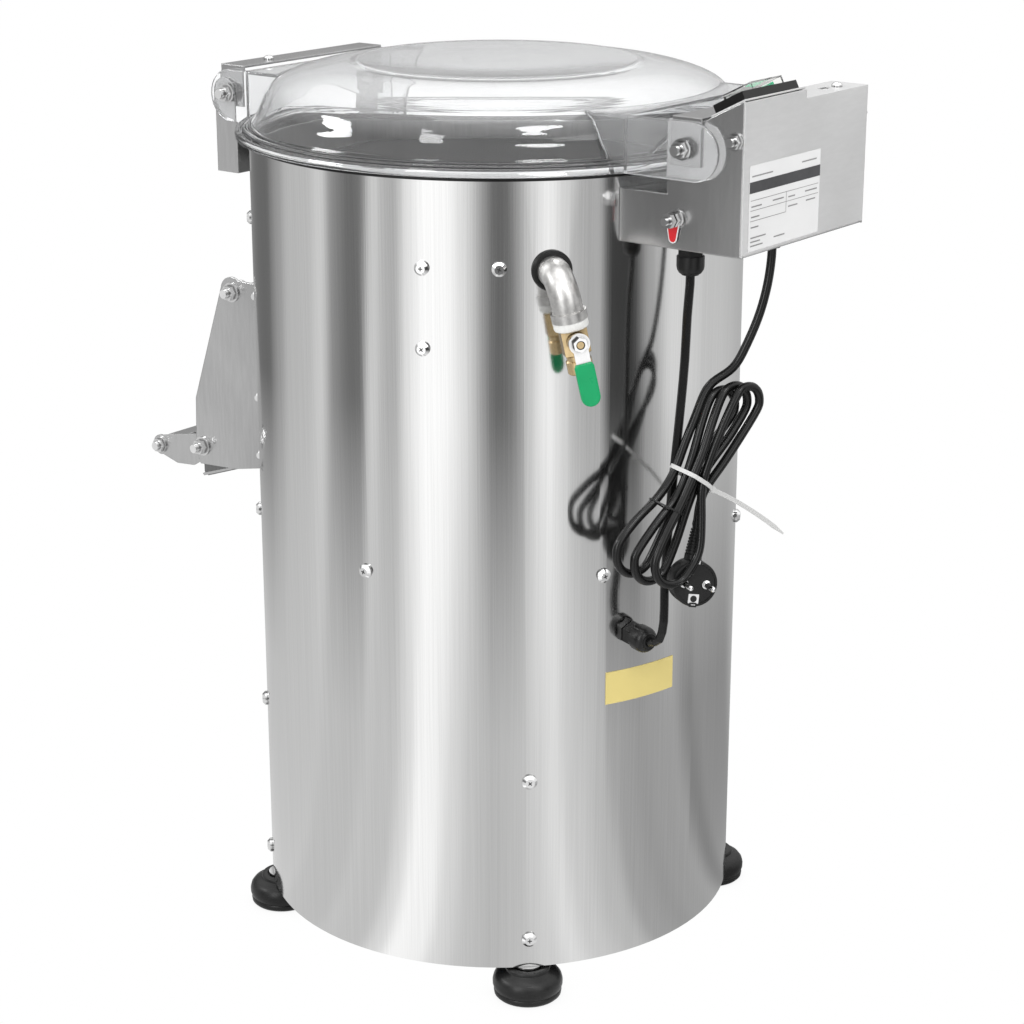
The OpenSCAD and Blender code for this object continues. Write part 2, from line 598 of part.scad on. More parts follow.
bail_y = box_w / 2 + 1.7;            // inner face of a bail arm
module latch_bail() color(steel) difference() {
  union() {
    for (s = [-1, 1]) translate([latch_x, s * (bail_y + bail_t / 2), 0]) along_y(bail_t) union() {
      translate([-bail_out, bail_low]) square([bail_out + bail_in, pivot_z - bail_low]);
      translate([-7.5, pivot_z]) circle(r = 12.5);
    }
    translate([latch_x + bail_in - bail_t, -bail_y - eps, bail_low])
      cube([bail_t, 2 * bail_y + 2 * eps, rim_z - 7 - bail_low]);
    translate([latch_x - 4, -30, bail_low]) cube([4 + bail_in, 60, bail_t]);
  }
  translate([latch_x, 0, pivot_z]) rod_y(pivot_d / 2 + run, 3 * box_w);
}
module side_bolts(x, inner) for (s = [-1, 1]) translate([x, s * inner, pivot_z]) rotate([-s * 90, 0, 0]) {
  cylinder(r = pivot_d / 2, h = cheek_in + cheek_t + 0.5 - inner);
  translate([0, 0, -4]) cylinder(r = pivot_d / 2 + 3, h = 4, $fn = 6);
  translate([0, 0, cheek_in + cheek_t + 0.5 - inner]) nut_end(pivot_d / 2, 8.5, 12);
}
module top_screw(x) translate([x, -box_w / 4, strap_z + strap_t]) rotate([0, -90, 0])
  dome_screw(4.5, 3.2, 2, strap_t + 0.5);
module latch_bolts() color(steel) {
  side_bolts(latch_x, box_w / 2 - 1);
  top_screw(latch_x);
}
module hinge_bolts() color(steel) {
  side_bolts(hinge_x, box_w / 2 - box_t);
  top_screw(hinge_x);
}
module lid_catch() color(steel) difference() {
  translate([0, 0, bail_low + 8]) intersection() {
    tube(drum_r + 3.6, 3.4, 16);
    translate([-drum_r - 10, -22, 0]) cube([40, 44, 16]);
  }
}

// ---- Control box ----
box_end = drum_r + box_out;
box_z = drum_top - box_drop;
box_top = drum_top + box_rise;
box_step = drum_r + 25;              // where the side plates rise
box_low_top = drum_top - 9;
box_front = drum_r + 61;              // the tall part's front wall
panel_run = 31.5;                    // the switch panel's reach in from the box's end
panel_y = 88;                        // the panel's width from the box's visible side
wedge_rise = 10;                     // how far the panel's top stands over the box's top
// A side plate's outline in X and Z; rise lifts its rear corner to the switch panel's top
module side_outline(rise) polygon([[drum_r - 40, box_z], [box_end, box_z], [box_end, box_top + rise],
  [box_end - panel_run, box_top - 6], [box_front - 3, strap_z - 1], [box_step, strap_z - 1],
  [box_step, box_low_top], [drum_r - 40, box_low_top]]);
module box_shell() color(steel) difference() {
  union() {
    translate([0, -(box_w - box_t) / 2, 0]) along_y(box_t) side_outline(wedge_rise);
    translate([0, (box_w - box_t) / 2, 0]) along_y(box_t) side_outline(0);
    translate([drum_r - 40, -box_w / 2 + box_t / 2, box_z])
      cube([box_end - box_t - drum_r + 40, box_w - box_t, box_t]);
    translate([drum_r - 40, -box_w / 2 + box_t / 2, box_low_top - box_t])
      cube([box_front - drum_r + 40, box_w - box_t, box_t]);
    translate([box_front - box_t, -box_w / 2 + box_t / 2, box_low_top - box_t])
      cube([box_t, box_w - box_t, box_top - 8 - box_low_top + box_t]);
  }
  translate([0, 0, box_z - 10]) cylinder(r = drum_r + gap, h = box_top - box_z + 20);
  translate([box_end - box_t, -box_w / 2 - 1, box_z + box_t]) cube([10, box_w + 2, box_top]);
  translate([hinge_x, 0, pivot_z]) rod_y(pivot_d / 2 + run, 2 * box_w);
  translate([box_bolt[0], 0, box_bolt[1]]) rod_y(3 + run, 2 * box_w);
  translate([stud_x, -box_w / 2, stud_z]) rod_y(3 + run, 10);
  translate([gland_at[0], gland_at[1], box_z - 1]) cylinder(r = gland_d * 0.36, h = 4);
  translate([lead_at[0], lead_at[1], box_z - 1]) cylinder(r = cord_d / 2 + 2, h = 4);
}
box_bolt = [drum_r + 87, drum_top + 38];
stud_x = drum_r + 34;
stud_z = drum_top - 28;
panel_lean = atan((6 + wedge_rise) / panel_run);
panel_len = panel_run / cos(panel_lean);
bezel_l = 78;
bezel_w = 29;
bezel_h = 7;
// Places its children on the inclined switch panel: X up the slope, Y along it, Z out of it
module on_panel() translate([box_end - panel_run, -box_w / 2, box_top - 6]) rotate([0, -panel_lean, 0])
  children();
module box_cover() color(steel) difference() {
  union() {
    translate([box_end - box_t, -box_w / 2, box_z + box_t]) cube([box_t, box_w, box_top - box_z - box_t]);
    translate([box_end - box_t, -box_w / 2, box_top - box_t]) cube([box_t, panel_y, wedge_rise]);
    translate([box_front, panel_y - box_w / 2, box_top])
      cube([box_end - box_front, box_w - panel_y, box_t]);
    for (s = [-1, 1]) translate([box_end - 22, s * (box_w / 2 - 1.5 * box_t - 0.1) - box_t / 2, box_z + 2 * box_t])
      cube([22 - eps, box_t, box_top - box_z - 16]);
    translate([0, panel_y - box_w / 2, 0]) rotate([90, 0, 0]) linear_extrude(box_t)
      polygon([[box_end - panel_run, box_top - 6 + box_t], [box_end, box_top - 6 + box_t],
        [box_end, box_top + wedge_rise - box_t]]);
    on_panel() translate([0, box_t / 2 + gap, 0]) cube([panel_len - 1.5, panel_y - box_t / 2 - gap, box_t]);
  }
  on_panel() translate([(panel_len - bezel_w) / 2 + 4, 12, -5]) cube([bezel_w - 8, bezel_l - 16, 20]);
  translate([box_end - 21, 46, box_top - 5]) cube([7, 14, 10]);
  translate([box_bolt[0], 0, box_bolt[1]]) rod_y(3 + run, 2 * box_w);
  translate([box_end - 14, 66, box_top - 5]) cylinder(r = 2 + run, h = 10);
}
module box_screws() color(steel) {
  for (s = [-1, 1]) translate([box_bolt[0], s * (box_w / 2 - 2 * box_t), box_bolt[1]]) rotate([-s * 90, 0, 0]) {
    cylinder(r = 3, h = 2 * box_t + 1);
    translate([0, 0, 2 * box_t + 2 * eps]) nut_end(3.5, 7, 9);
  }
  translate([box_end - 14, 66, box_top + box_t]) rotate([0, -90, 0]) dome_screw(4.5, 3.5, 2, box_t);
}
module earth_stud() color(steel) translate([stud_x, -box_w / 2 + box_t, stud_z]) rotate([90, 0, 0]) {
  cylinder(r = 3, h = box_t + 17);
  translate([0, 0, box_t]) cylinder(r = 8, h = 1.5);
  translate([0, 0, box_t + 1.4]) cylinder(r = 6, h = 5, $fn = 6);
  translate([0, 0, box_t + 8]) cylinder(r = 6, h = 5, $fn = 6);
}

// ---- Switch ----
rocker_l = 30;
rocker_w = 19;
rocker_lift = box_t + 3;             // the rocker's axis over the panel
module on_rocker() on_panel() translate([panel_len / 2, 4 + bezel_l / 2, rocker_lift]) children();
module switch_bezel() color([0.05, 0.05, 0.05]) difference() {
  on_panel() union() {
    translate([(panel_len - bezel_w) / 2, 4, box_t]) cube([bezel_w, bezel_l, bezel_h]);
    translate([(panel_len - bezel_w) / 2 + 4.2, 12.2, box_t - 12])
      cube([bezel_w - 8.4, bezel_l - 16.4, 12 + eps]);
  }
  on_rocker() translate([-rocker_w / 2 - 0.6, -rocker_l / 2 - 0.6, -8])
    cube([rocker_w + 1.2, rocker_l + 1.2, 30]);
  on_rocker() rotate([0, 90, 0]) cylinder(r = 1.5 + run, h = rocker_w + 4, center = true);
}
module switch_rocker() color([0, 0.62, 0.4]) on_rocker() union() {
  rotate([0, 90, 0]) cylinder(r = 1.5, h = rocker_w + 3, center = true);
  translate([-rocker_w / 2, 0, 0]) rotate([90, 0, 90]) linear_extrude(rocker_w)
    polygon([[-rocker_l / 2 + 0.4, -2.5], [rocker_l / 2 - 0.4, -2.5], [rocker_l / 2 - 0.8, 7.5],
      [0, 4.6], [-rocker_l / 2 + 0.8, 4]]);
}
boot_t = 1.2;
boot_l = 44;
module switch_boot() color(clear_sheet) on_rocker() translate([0, 0, bezel_h + box_t - rocker_lift])
  difference() {
    translate([-bezel_w / 2 + 0.5, -boot_l / 2, 0]) cube([bezel_w - 1, boot_l, 6]);
    translate([-bezel_w / 2 + 0.5 + boot_t, -boot_l / 2 + boot_t, -1])
      cube([bezel_w - 1 - 2 * boot_t, boot_l - 2 * boot_t, 7 - boot_t]);
  }

// ---- Water inlet ----
// Places its children on the down pipe: s along it from the bend's start height
module down_pipe(s) around(inlet_phi, drum_r + axis_out, inlet_z) rotate([inlet_tilt, 0, 0])
  translate([0, 0, -s]) children();
module inlet_grommet() color(rubber) around(inlet_phi, 0, inlet_z) rotate([0, 90, 0]) difference() {
  translate([0, 0, drum_r + 0.4]) rotate_extrude() polygon([[inlet_d / 2, 0], [inlet_d / 2 + 7, 0],
    [inlet_d / 2 + 7, 2], [inlet_d / 2 + 4, 4.5], [inlet_d / 2, 4.5]]);
}
tape_s = inlet_bend + 11;
body_s = tape_s + 4;
body_l = 40;
module inlet_path(r) {
  around(inlet_phi, drum_r + 0.5, inlet_z) rotate([inlet_tilt, 0, 0]) rotate([0, 90, 0])
    cylinder(r = r, h = inlet_leg - 0.5);
  around(inlet_phi, drum_r + inlet_leg, inlet_z) rotate([inlet_tilt, 0, 0])
    translate([0, 0, -inlet_bend]) rotate([90, 0, 0]) rotate_extrude(angle = 90)
      translate([inlet_bend, 0]) circle(r = r - 0.2, $fn = 48);
  down_pipe(tape_s) cylinder(r = r, h = tape_s - inlet_bend);
}
module inlet_elbow() color([0.7, 0.7, 0.69]) difference() {
  union() {
    inlet_path(inlet_d / 2);
    down_pipe(tape_s) cylinder(r = inlet_d / 2 + 2, h = 7);
    around(inlet_phi, chamber_r - 6, inlet_z) rotate([inlet_tilt, 0, 0]) rotate([0, 90, 0])
      cylinder(r = inlet_d / 2 - 2, h = drum_r + 1 - chamber_r + 6);
  }
  around(inlet_phi, chamber_r - 8, inlet_z) rotate([inlet_tilt, 0, 0]) rotate([0, 90, 0])
    cylinder(r = inlet_d / 2 - 4, h = drum_r + inlet_leg - chamber_r + 8);
  around(inlet_phi, drum_r + inlet_leg, inlet_z) rotate([inlet_tilt, 0, 0])
    translate([0, 0, -inlet_bend]) rotate([90, 0, 0]) rotate_extrude(angle = 90)
      translate([inlet_bend, 0]) circle(r = inlet_d / 2 - 4.5, $fn = 48);
  down_pipe(tape_s + 1) cylinder(r = inlet_d / 2 - 4, h = tape_s + 1 - inlet_bend);
}
module spray_nozzle() color(steel) around(inlet_phi, chamber_r - 12, inlet_z) rotate([0, 90, 0]) difference() {
  union() {
    cylinder(r = inlet_d / 2 + 1, h = 9, $fn = 6);
    translate([0, 0, -3]) cylinder(r1 = inlet_d / 2 - 3, r2 = inlet_d / 2 - 0.5, h = 3 + eps);
  }
  translate([0, 0, -4]) cylinder(r = 2.5, h = 6);
  translate([0, 0, 1]) cylinder(r = inlet_d / 2 - 5, h = 6);
  translate([0, 0, 5.9]) cylinder(r = inlet_d / 2 - 2, h = 6);
}
port_r = 9.3;                        // the valve's threaded port
port_l = 13;
stem_s = body_s + 12;
stem_out = 17;                       // height of the stem's seat over the pipe's axis
module valve_body() color([0.75, 0.6, 0.33]) difference() {
  union() {
    down_pipe(tape_s + 4) cylinder(r = inlet_d / 2 - 4.2, h = 12);
    down_pipe(body_s + 24) cylinder(r = 14, h = 24, $fn = 6);
    down_pipe(body_s + body_l - 12) cylinder(r = 11.5, h = body_l - 30);
    down_pipe(body_s + body_l) cylinder(r = 14, h = 13, $fn = 6);
    down_pipe(stem_s) rotate([0, 90, 0]) cylinder(r = 8, h = stem_out);
    down_pipe(stem_s) rotate([0, 90, 0]) cylinder(r = 3.5, h = stem_out + 6);
  }
  down_pipe(body_s + body_l + 1) cylinder(r = port_r, h = port_l + 1);
  down_pipe(body_s + body_l - port_l + 1) cylinder(r = 6, h = body_l + 10);
}
handle_l = 52;
module handle_place() down_pipe(stem_s) rotate([0, 90, 0]) translate([0, 0, stem_out]) children();
module valve_handle() color(steel) handle_place() difference() {
  union() {
    translate([0, 0, gap]) cylinder(r = 8.5, h = 2);
    translate([0, -6, gap]) cube([handle_l - 6, 12, 2]);
    translate([0, 0, gap + 2 - eps]) cylinder(r = 6, h = 4, $fn = 6);
  }
  translate([0, 0, -1]) cylinder(r = 3.5 + run, h = 12);
}
module handle_sleeve() color([0.05, 0.6, 0.35]) handle_place() difference() {
  translate([0, 0, -1.2]) linear_extrude(5.2) union() {
    translate([21, -7.5]) square([handle_l - 21 - 8, 15]);
    translate([handle_l - 8, 0]) circle(r = 7.5);
  }
  translate([0, -6, gap]) cube([handle_l - 6, 12, 2]);
}

// ---- Cords ----
gland_at = [drum_r + 34, 22 - box_w / 2];
lead_at = [drum_r + 69, -5];
gland_l = 24;
module gland_body(l) {
  cylinder(r = gland_d / 2, h = l * 0.35, $fn = 6);
  translate([0, 0, l * 0.35 - eps]) cylinder(r = gland_d / 2 - 0.5, h = l * 0.35);
  translate([0, 0, l * 0.7 - 2 * eps]) cylinder(r1 = gland_d / 2 - 0.5, r2 = gland_d / 2 - 4, h = l * 0.3);
}
module box_gland() color(rubber) translate([gland_at[0], gland_at[1], box_z]) rotate([180, 0, 0]) difference() {
  union() {
    gland_body(gland_l);
    translate([0, 0, -box_t - 4]) cylinder(r = gland_d * 0.36 - run, h = box_t + 5);
    translate([0, 0, -box_t - 4]) cylinder(r = gland_d / 2, h = 4, $fn = 6);
  }
  translate([0, 0, gland_l - 8]) cylinder(r = cord_d / 2, h = 10);
}
module drum_gland() color(rubber) around(gland_phi, drum_r + 0.6, gland_z) rotate([0, 90, 0]) difference() {
  union() {
    gland_body(gland_l + 2);
    translate([0, 0, -shell_t - 5]) cylinder(r = gland_d * 0.36 - run, h = shell_t + 6);
    translate([0, 0, -shell_t - 6]) cylinder(r = gland_d / 2, h = 4, $fn = 6);
  }
  translate([0, 0, gland_l - 6]) cylinder(r = cord_d / 2, h = 10);
}
module mains_bushing() color(rubber) translate([lead_at[0], lead_at[1], box_z]) rotate([180, 0, 0]) difference() {
  union() {
    cylinder(r1 = cord_d / 2 + 5, r2 = cord_d / 2 + 3, h = 8);
    translate([0, 0, -box_t - 2]) cylinder(r = cord_d / 2 + 2 - run, h = box_t + 3);
  }
  translate([0, 0, 4]) cylinder(r = cord_d / 2, h = 6);
}
// Routes, as points chosen by hand for the drum, box and gland of these sizes
route_drum_r = 215;
route_box_w = 184;
route_box_z = 668;
route_gland_z = 330;
motor_points = [[249, -70, 650], [249, -70, 636], [249, -73, 610], [249, -75, 575], [247, -76, 540],
  [244, -77, 500], [241, -78, 460], [239, -80, 419], [240, -84, 379], [242, -87, 353],
  [238, -87, 336], [227, -85, 330], [223, -83, 330]];
lead_points = [[284, -5, 666], [284, -5, 652], [283, -8, 630], [280, -14, 606], [275, -23, 583],
  [269, -34, 563], [264, -46, 543], [261, -56, 525]];
// Moves with the box: in Z with its underside, outwards with the drum
function from_box(p) = [p[0] + drum_r - route_drum_r, p[1], p[2] + box_z - route_box_z];
// Hangs from the box's gland to the drum's gland
function hung(p) = let (low = route_box_z - 68, w = min(1, max(0, (p[2] - 400) / 200)),
  grow = drum_r - route_drum_r, far = (low - p[2]) / (low - route_gland_z))
  [p[0] + grow * (w + (1 - w) * cos(gland_phi)),
   p[1] + grow * (1 - w) * sin(gland_phi) - w * (box_w - route_box_w) / 2,
   p[2] > low ? p[2] + box_z - route_box_z : far * gland_z + (1 - far) * (box_z - 68)];
motor_route = [for (p = motor_points) hung(p)];
lead_route = [for (p = lead_points) from_box(p)];
function unit(v) = v / norm(v);
function tangent(p, i) = unit(p[min(i + 1, len(p) - 1)] - p[max(i - 1, 0)]);
// Cubic through four points, for smooth stretches between the route's points
function bend_at(a, b, c, d, t) = 0.5 * (2 * b + (c - a) * t + (2 * a - 5 * b + 4 * c - d) * t * t
  + (3 * b - 3 * c + d - a) * t * t * t);
function smooth(p, n) = concat([for (i = [0 : len(p) - 2]) for (k = [0 : n - 1])
  bend_at(p[max(i - 1, 0)], p[i], p[i + 1], p[min(i + 2, len(p) - 1)], k / n)], [p[len(p) - 1]]);
function side_of(t) = unit(cross(t, abs(t[1]) > 0.9 ? [1, 0, 0] : [0, 1, 0]));
function ring(c, t, r, n) = let (u = side_of(t), v = cross(t, u))
  [for (k = [0 : n - 1]) c + r * cos(360 * k / n) * u + r * sin(360 * k / n) * v];
module sweep(p, r, n) {
  m = len(p);
  polyhedron(points = [for (i = [0 : m - 1]) each ring(p[i], tangent(p, i), r, n)],
    faces = concat([[for (k = [0 : n - 1]) k]], [[for (k = [n - 1 : -1 : 0]) (m - 1) * n + k]],
      [for (i = [0 : m - 2]) for (k = [0 : n - 1])
        [i * n + k, (i + 1) * n + k, (i + 1) * n + (k + 1) % n, i * n + (k + 1) % n]]));
}
module motor_cable() color(rubber) sweep(smooth(motor_route, 2), cord_d / 2, 10);
module mains_lead() color(rubber) sweep(smooth(lead_route, 2), cord_d / 2, 10);
// The hank lies in a plane that leans along the drum
hank_at = from_box([250, -70, 469]);
hank_spin = -16;
hank_lean = -35;
module hank_place() translate(hank_at) rotate([0, 0, hank_spin]) rotate([hank_lean, 0, 0]) children();
hank_thick = 3.2 * cord_d;
hank_top = [-7, 76, 21];             // across, along and radius of its upper end
hank_low = [-3, -52, 36];
module cord_hank() color(rubber) hank_place() translate([1.2, 0, 0]) rotate([90, 0, 90])
  linear_extrude(hank_thick) hull() for (e = [hank_top, hank_low])
    translate([e[0], e[1]]) circle(r = e[2], $fn = 36);
tie_half = 33;
module cable_tie() color([0.93, 0.93, 0.93]) hank_place() translate([-1, -6, 0]) difference() {
  translate([0, -tie_half - 1.6, -3]) cube([hank_thick + 4.4, 2 * tie_half + 3.2, 5]);
  translate([1.6, -tie_half, -4]) cube([hank_thick + 1.2, 2 * tie_half, 7]);
}
plug_at = from_box([263, -81, 392]);
plug_r = 19;
plug_tilt = -10.5;                   // lean of the plug's cord towards the drum
module mains_plug() color(rubber) translate(plug_at) rotate([plug_tilt, 0, 0]) {
  translate([0, 0, 6]) cylinder(r1 = 8, r2 = cord_d / 2 + 0.8, h = plug_r + 26);
  rotate([0, 0, -40]) {
    translate([-8, 0, 0]) rotate([0, 90, 0]) cylinder(r = plug_r, h = 23);
    for (s = [-1, 1]) translate([14, s * 9.5, 0]) rotate([0, 90, 0]) cylinder(r = 2.4, h = 20);
  }
}

drum_shell();
drum_seal();
chamber_wall();
abrasive_lining();
chamber_floor();
legs();
feet();
foot_studs();
foot_bolts();
drum_screws();
drain_pipe();
bearing_housing();
bearings();
shaft_seal();
drive_shaft();
turntable();
hub_nut();
large_pulley();
motor();
motor_deck();
motor_shaft();
motor_pulley();
drive_belt();
chute();
chute_screws();
door_pin();
door();
door_gasket();
door_lever();
lever_rod();
lever_bolts();
lid();
front_strap();
latch_bail();
latch_bolts();
lid_catch();
box_shell();
box_cover();
box_screws();
earth_stud();
hinge_strap();
hinge_bolts();
switch_bezel();
switch_rocker();
switch_boot();
box_gland();
drum_gland();
mains_bushing();
motor_cable();
mains_lead();
cord_hank();
mains_plug();
cable_tie();
inlet_grommet();
inlet_elbow();
spray_nozzle();
valve_body();
valve_handle();
handle_sleeve();
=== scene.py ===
import math
import bpy
import bmesh
from mathutils import Matrix, Vector


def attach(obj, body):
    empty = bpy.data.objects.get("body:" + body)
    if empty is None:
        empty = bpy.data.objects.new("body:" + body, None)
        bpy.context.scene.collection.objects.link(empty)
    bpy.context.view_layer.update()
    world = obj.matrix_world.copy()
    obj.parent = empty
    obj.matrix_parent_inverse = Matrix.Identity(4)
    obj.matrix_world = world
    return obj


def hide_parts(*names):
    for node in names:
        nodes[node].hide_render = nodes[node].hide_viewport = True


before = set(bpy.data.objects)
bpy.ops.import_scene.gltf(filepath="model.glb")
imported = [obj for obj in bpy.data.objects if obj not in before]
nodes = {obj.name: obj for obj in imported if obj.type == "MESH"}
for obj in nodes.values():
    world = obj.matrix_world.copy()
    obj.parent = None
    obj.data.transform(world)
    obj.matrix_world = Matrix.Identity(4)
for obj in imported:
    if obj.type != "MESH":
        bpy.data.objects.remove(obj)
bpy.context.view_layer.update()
scene = bpy.context.scene
print("frame loaded")

# Camera
view = {"place": (1.2952, -1.6517, 1.0634), "pitch": 18.1, "turn": 37.77, "lens": 85.22}
camData = bpy.data.cameras.new("camera")
camData.lens = view["lens"]
camData.sensor_width = 36
camera = bpy.data.objects.new("camera", camData)
camera.location = view["place"]
camera.rotation_euler = (math.radians(90 - view["pitch"]), 0, math.radians(view["turn"]))
scene.collection.objects.link(camera)
scene.camera = camera


# Materials
def newMaterial(name):
    m = bpy.data.materials.new(name)
    m.use_nodes = True
    tree = m.node_tree
    return m, tree, tree.nodes["Principled BSDF"]


# A key that starts with an underscore sets the node's own value, and any other an input
def addNode(tree, kind, **values):
    n = tree.nodes.new(kind)
    for key, value in values.items():
        if key.startswith("_"):
            setattr(n, key[1:], value)
        else:
            n.inputs[key.replace("_", " ")].default_value = value
    return n


def noiseOf(tree, scale, stretch=(1, 1, 1), detail=4.0, rough=0.55):
    coord = addNode(tree, "ShaderNodeTexCoord")
    mapping = addNode(tree, "ShaderNodeMapping")
    mapping.inputs["Scale"].default_value = stretch
    tree.links.new(coord.outputs["Object"], mapping.inputs["Vector"])
    noise = addNode(tree, "ShaderNodeTexNoise", Scale=scale, Detail=detail, Roughness=rough)
    tree.links.new(mapping.outputs["Vector"], noise.inputs["Vector"])
    return noise


def rampOf(tree, source, stops):
    ramp = addNode(tree, "ShaderNodeValToRGB")
    while len(ramp.color_ramp.elements) < len(stops):
        ramp.color_ramp.elements.new(0.5)
    for e, (at, shade) in zip(ramp.color_ramp.elements, stops):
        e.position = at
        e.color = (*shade, 1) if len(shade) == 3 else shade
    tree.links.new(source, ramp.inputs["Fac"])
    return ramp


# Tone times a value from the nodes
def dimmed(tree, color, value):
    product = addNode(tree, "ShaderNodeMix", _data_type="RGBA", _blend_type="MULTIPLY")
    product.inputs[0].default_value = 1.0
    tree.links.new(color, product.inputs[6])
    tree.links.new(value, product.inputs[7])
    return product.outputs[2]


def bumpFrom(tree, bsdf, source, strength, distance, soft=0.0):
    bump = addNode(tree, "ShaderNodeBump", Strength=strength, Distance=distance)
    if soft:
        rounded = addNode(tree, "ShaderNodeBevel", Radius=soft)
        rounded.samples = 6
        tree.links.new(rounded.outputs["Normal"], bump.inputs["Normal"])
    tree.links.new(source, bump.inputs["Height"])
    tree.links.new(bump.outputs["Normal"], bsdf.inputs["Normal"])


# Metal: brushing stretched along one axis, uneven roughness and fine bump. A corner shade value
# paints shade into corners within that many metres, soft rounds edges by that many, and a light
# patch value paints wide clouds of light and shade over the tone.
def metalMaterial(name, tone, rough, grain=(500, 500, 14), tint=(1, 1, 1), brush=0.12, anis=0.0,
                  bump=0.06, metallic=1.0, cornerShade=0.0, soft=0.0, lightPatch=0.0):
    m, tree, bsdf = newMaterial(name)
    bsdf.inputs["Metallic"].default_value = metallic
    bsdf.inputs["Anisotropic"].default_value = anis
    lines = noiseOf(tree, 1.0, grain, 3.0, 0.6)
    cloud = noiseOf(tree, 9.0, (1, 1, 0.4), 3.0)
    low = [max(0.0, tone - brush) * c for c in tint]
    high = [min(1.0, tone + brush * 0.6) * c for c in tint]
    base = rampOf(tree, lines.outputs["Fac"], [(0.3, low), (0.7, high)]).outputs["Color"]
    # Painted shade: ambient occlusion darkens the tone in corners and creases
    if cornerShade:
        ao = addNode(tree, "ShaderNodeAmbientOcclusion", Distance=cornerShade)
        ao.samples = 8
        dim = addNode(tree, "ShaderNodeMapRange", From_Min=0.25, From_Max=0.95, To_Min=0.12,
                      To_Max=1.0)
        tree.links.new(ao.outputs["AO"], dim.inputs["Value"])
        base = dimmed(tree, base, dim.outputs["Result"])
    # Painted light and shade: wide noise clouds make the tone lighter and darker
    if lightPatch:
        wide = noiseOf(tree, 6.0, (1, 1, 1), 1.0)
        lightAndShade = addNode(tree, "ShaderNodeMapRange", From_Min=0.3, From_Max=0.7, To_Min=1 - lightPatch,
                        To_Max=1 + lightPatch * 0.4)
        tree.links.new(wide.outputs["Fac"], lightAndShade.inputs["Value"])
        base = dimmed(tree, base, lightAndShade.outputs["Result"])
    tree.links.new(base, bsdf.inputs["Base Color"])
    roughness = addNode(tree, "ShaderNodeMapRange", To_Min=rough * 0.8, To_Max=rough * 1.3)
    tree.links.new(cloud.outputs["Fac"], roughness.inputs["Value"])
    tree.links.new(roughness.outputs["Result"], bsdf.inputs["Roughness"])
    bumpFrom(tree, bsdf, lines.outputs["Fac"], bump, 0.0004, soft)
    return m


# Rubber, plastic and paint: mottled tone, grain and bump
def plainMaterial(name, color, rough, vary=0.25, scale=160.0, bump=0.15, coat=0.0, metallic=0.0,
                  shine=0.5):
    m, tree, bsdf = newMaterial(name)
    bsdf.inputs["Specular IOR Level"].default_value = shine
    bsdf.inputs["Metallic"].default_value = metallic
    bsdf.inputs["Coat Weight"].default_value = coat
    grain = noiseOf(tree, scale, (1, 1, 1), 4.0)
    cloud = noiseOf(tree, 14.0, (1, 1, 1), 3.0)
    low = [c * (1 - vary) for c in color]
    high = [min(1.0, c * (1 + vary) + 0.004) for c in color]
    ramp = rampOf(tree, cloud.outputs["Fac"], [(0.3, low), (0.72, high)])
    tree.links.new(ramp.outputs["Color"], bsdf.inputs["Base Color"])
    roughness = addNode(tree, "ShaderNodeMapRange", To_Min=rough * 0.75,
                        To_Max=min(1.0, rough * 1.25))
    tree.links.new(grain.outputs["Fac"], roughness.inputs["Value"])
    tree.links.new(roughness.outputs["Result"], bsdf.inputs["Roughness"])
    bumpFrom(tree, bsdf, grain.outputs["Fac"], bump, 0.0003)
    return m


# Clear plastic: faint tone and a slightly uneven surface. A haze of (low, high, clear) makes it
# less clear between two heights.
def clearMaterial(name, color, rough, wave, ior=1.49, clear=1.0, haze=None):
    m, tree, bsdf = newMaterial(name)
    bsdf.inputs["Transmission Weight"].default_value = clear
    bsdf.inputs["IOR"].default_value = ior
    if haze:
        place = addNode(tree, "ShaderNodeTexCoord")
        parts = addNode(tree, "ShaderNodeSeparateXYZ")
        tree.links.new(place.outputs["Object"], parts.inputs["Vector"])
        fade = addNode(tree, "ShaderNodeMapRange", From_Min=haze[0], From_Max=haze[1],
                       To_Min=clear, To_Max=haze[2])
        tree.links.new(parts.outputs["Z"], fade.inputs["Value"])
        tree.links.new(fade.outputs["Result"], bsdf.inputs["Transmission Weight"])
    cloud = noiseOf(tree, 7.0, (1, 1, 1), 2.0)
    ramp = rampOf(tree, cloud.outputs["Fac"], [(0.3, [c * 0.985 for c in color]), (0.7, color)])
    tree.links.new(ramp.outputs["Color"], bsdf.inputs["Base Color"])
    roughness = addNode(tree, "ShaderNodeMapRange", To_Min=rough, To_Max=rough * 1.6)
    tree.links.new(cloud.outputs["Fac"], roughness.inputs["Value"])
    tree.links.new(roughness.outputs["Result"], bsdf.inputs["Roughness"])
    bumpFrom(tree, bsdf, cloud.outputs["Fac"], wave, 0.002)
    return m


sheetGrain = (260, 260, 30)
drumLook = metalMaterial("drumSteel", 0.69, 0.10, (900, 900, 5), (1.0, 1.0, 0.995), brush=0.035,
                         anis=0.35, bump=0.03)
# Sheet, strap, plate and side steel get wide clouds of painted light and shade
sheetLook = metalMaterial("sheetSteel", 0.52, 0.2, sheetGrain, brush=0.03, bump=0.02, soft=0.0012,
                          lightPatch=0.25)
strapLook = metalMaterial("strapSteel", 0.5, 0.24, sheetGrain, brush=0.03, bump=0.02, soft=0.0012,
                          lightPatch=0.2)
plateLook = metalMaterial("plateSteel", 0.61, 0.42, (60, 60, 300), brush=0.02, bump=0.01,
                          metallic=0.55, soft=0.0015, lightPatch=0.16)
sideLook = metalMaterial("sideSteel", 0.66, 0.22, sheetGrain, brush=0.03, bump=0.02, soft=0.0015,
                         lightPatch=0.4)
linerLook = metalMaterial("linerSteel", 0.5, 0.3, (300, 300, 8), brush=0.06)
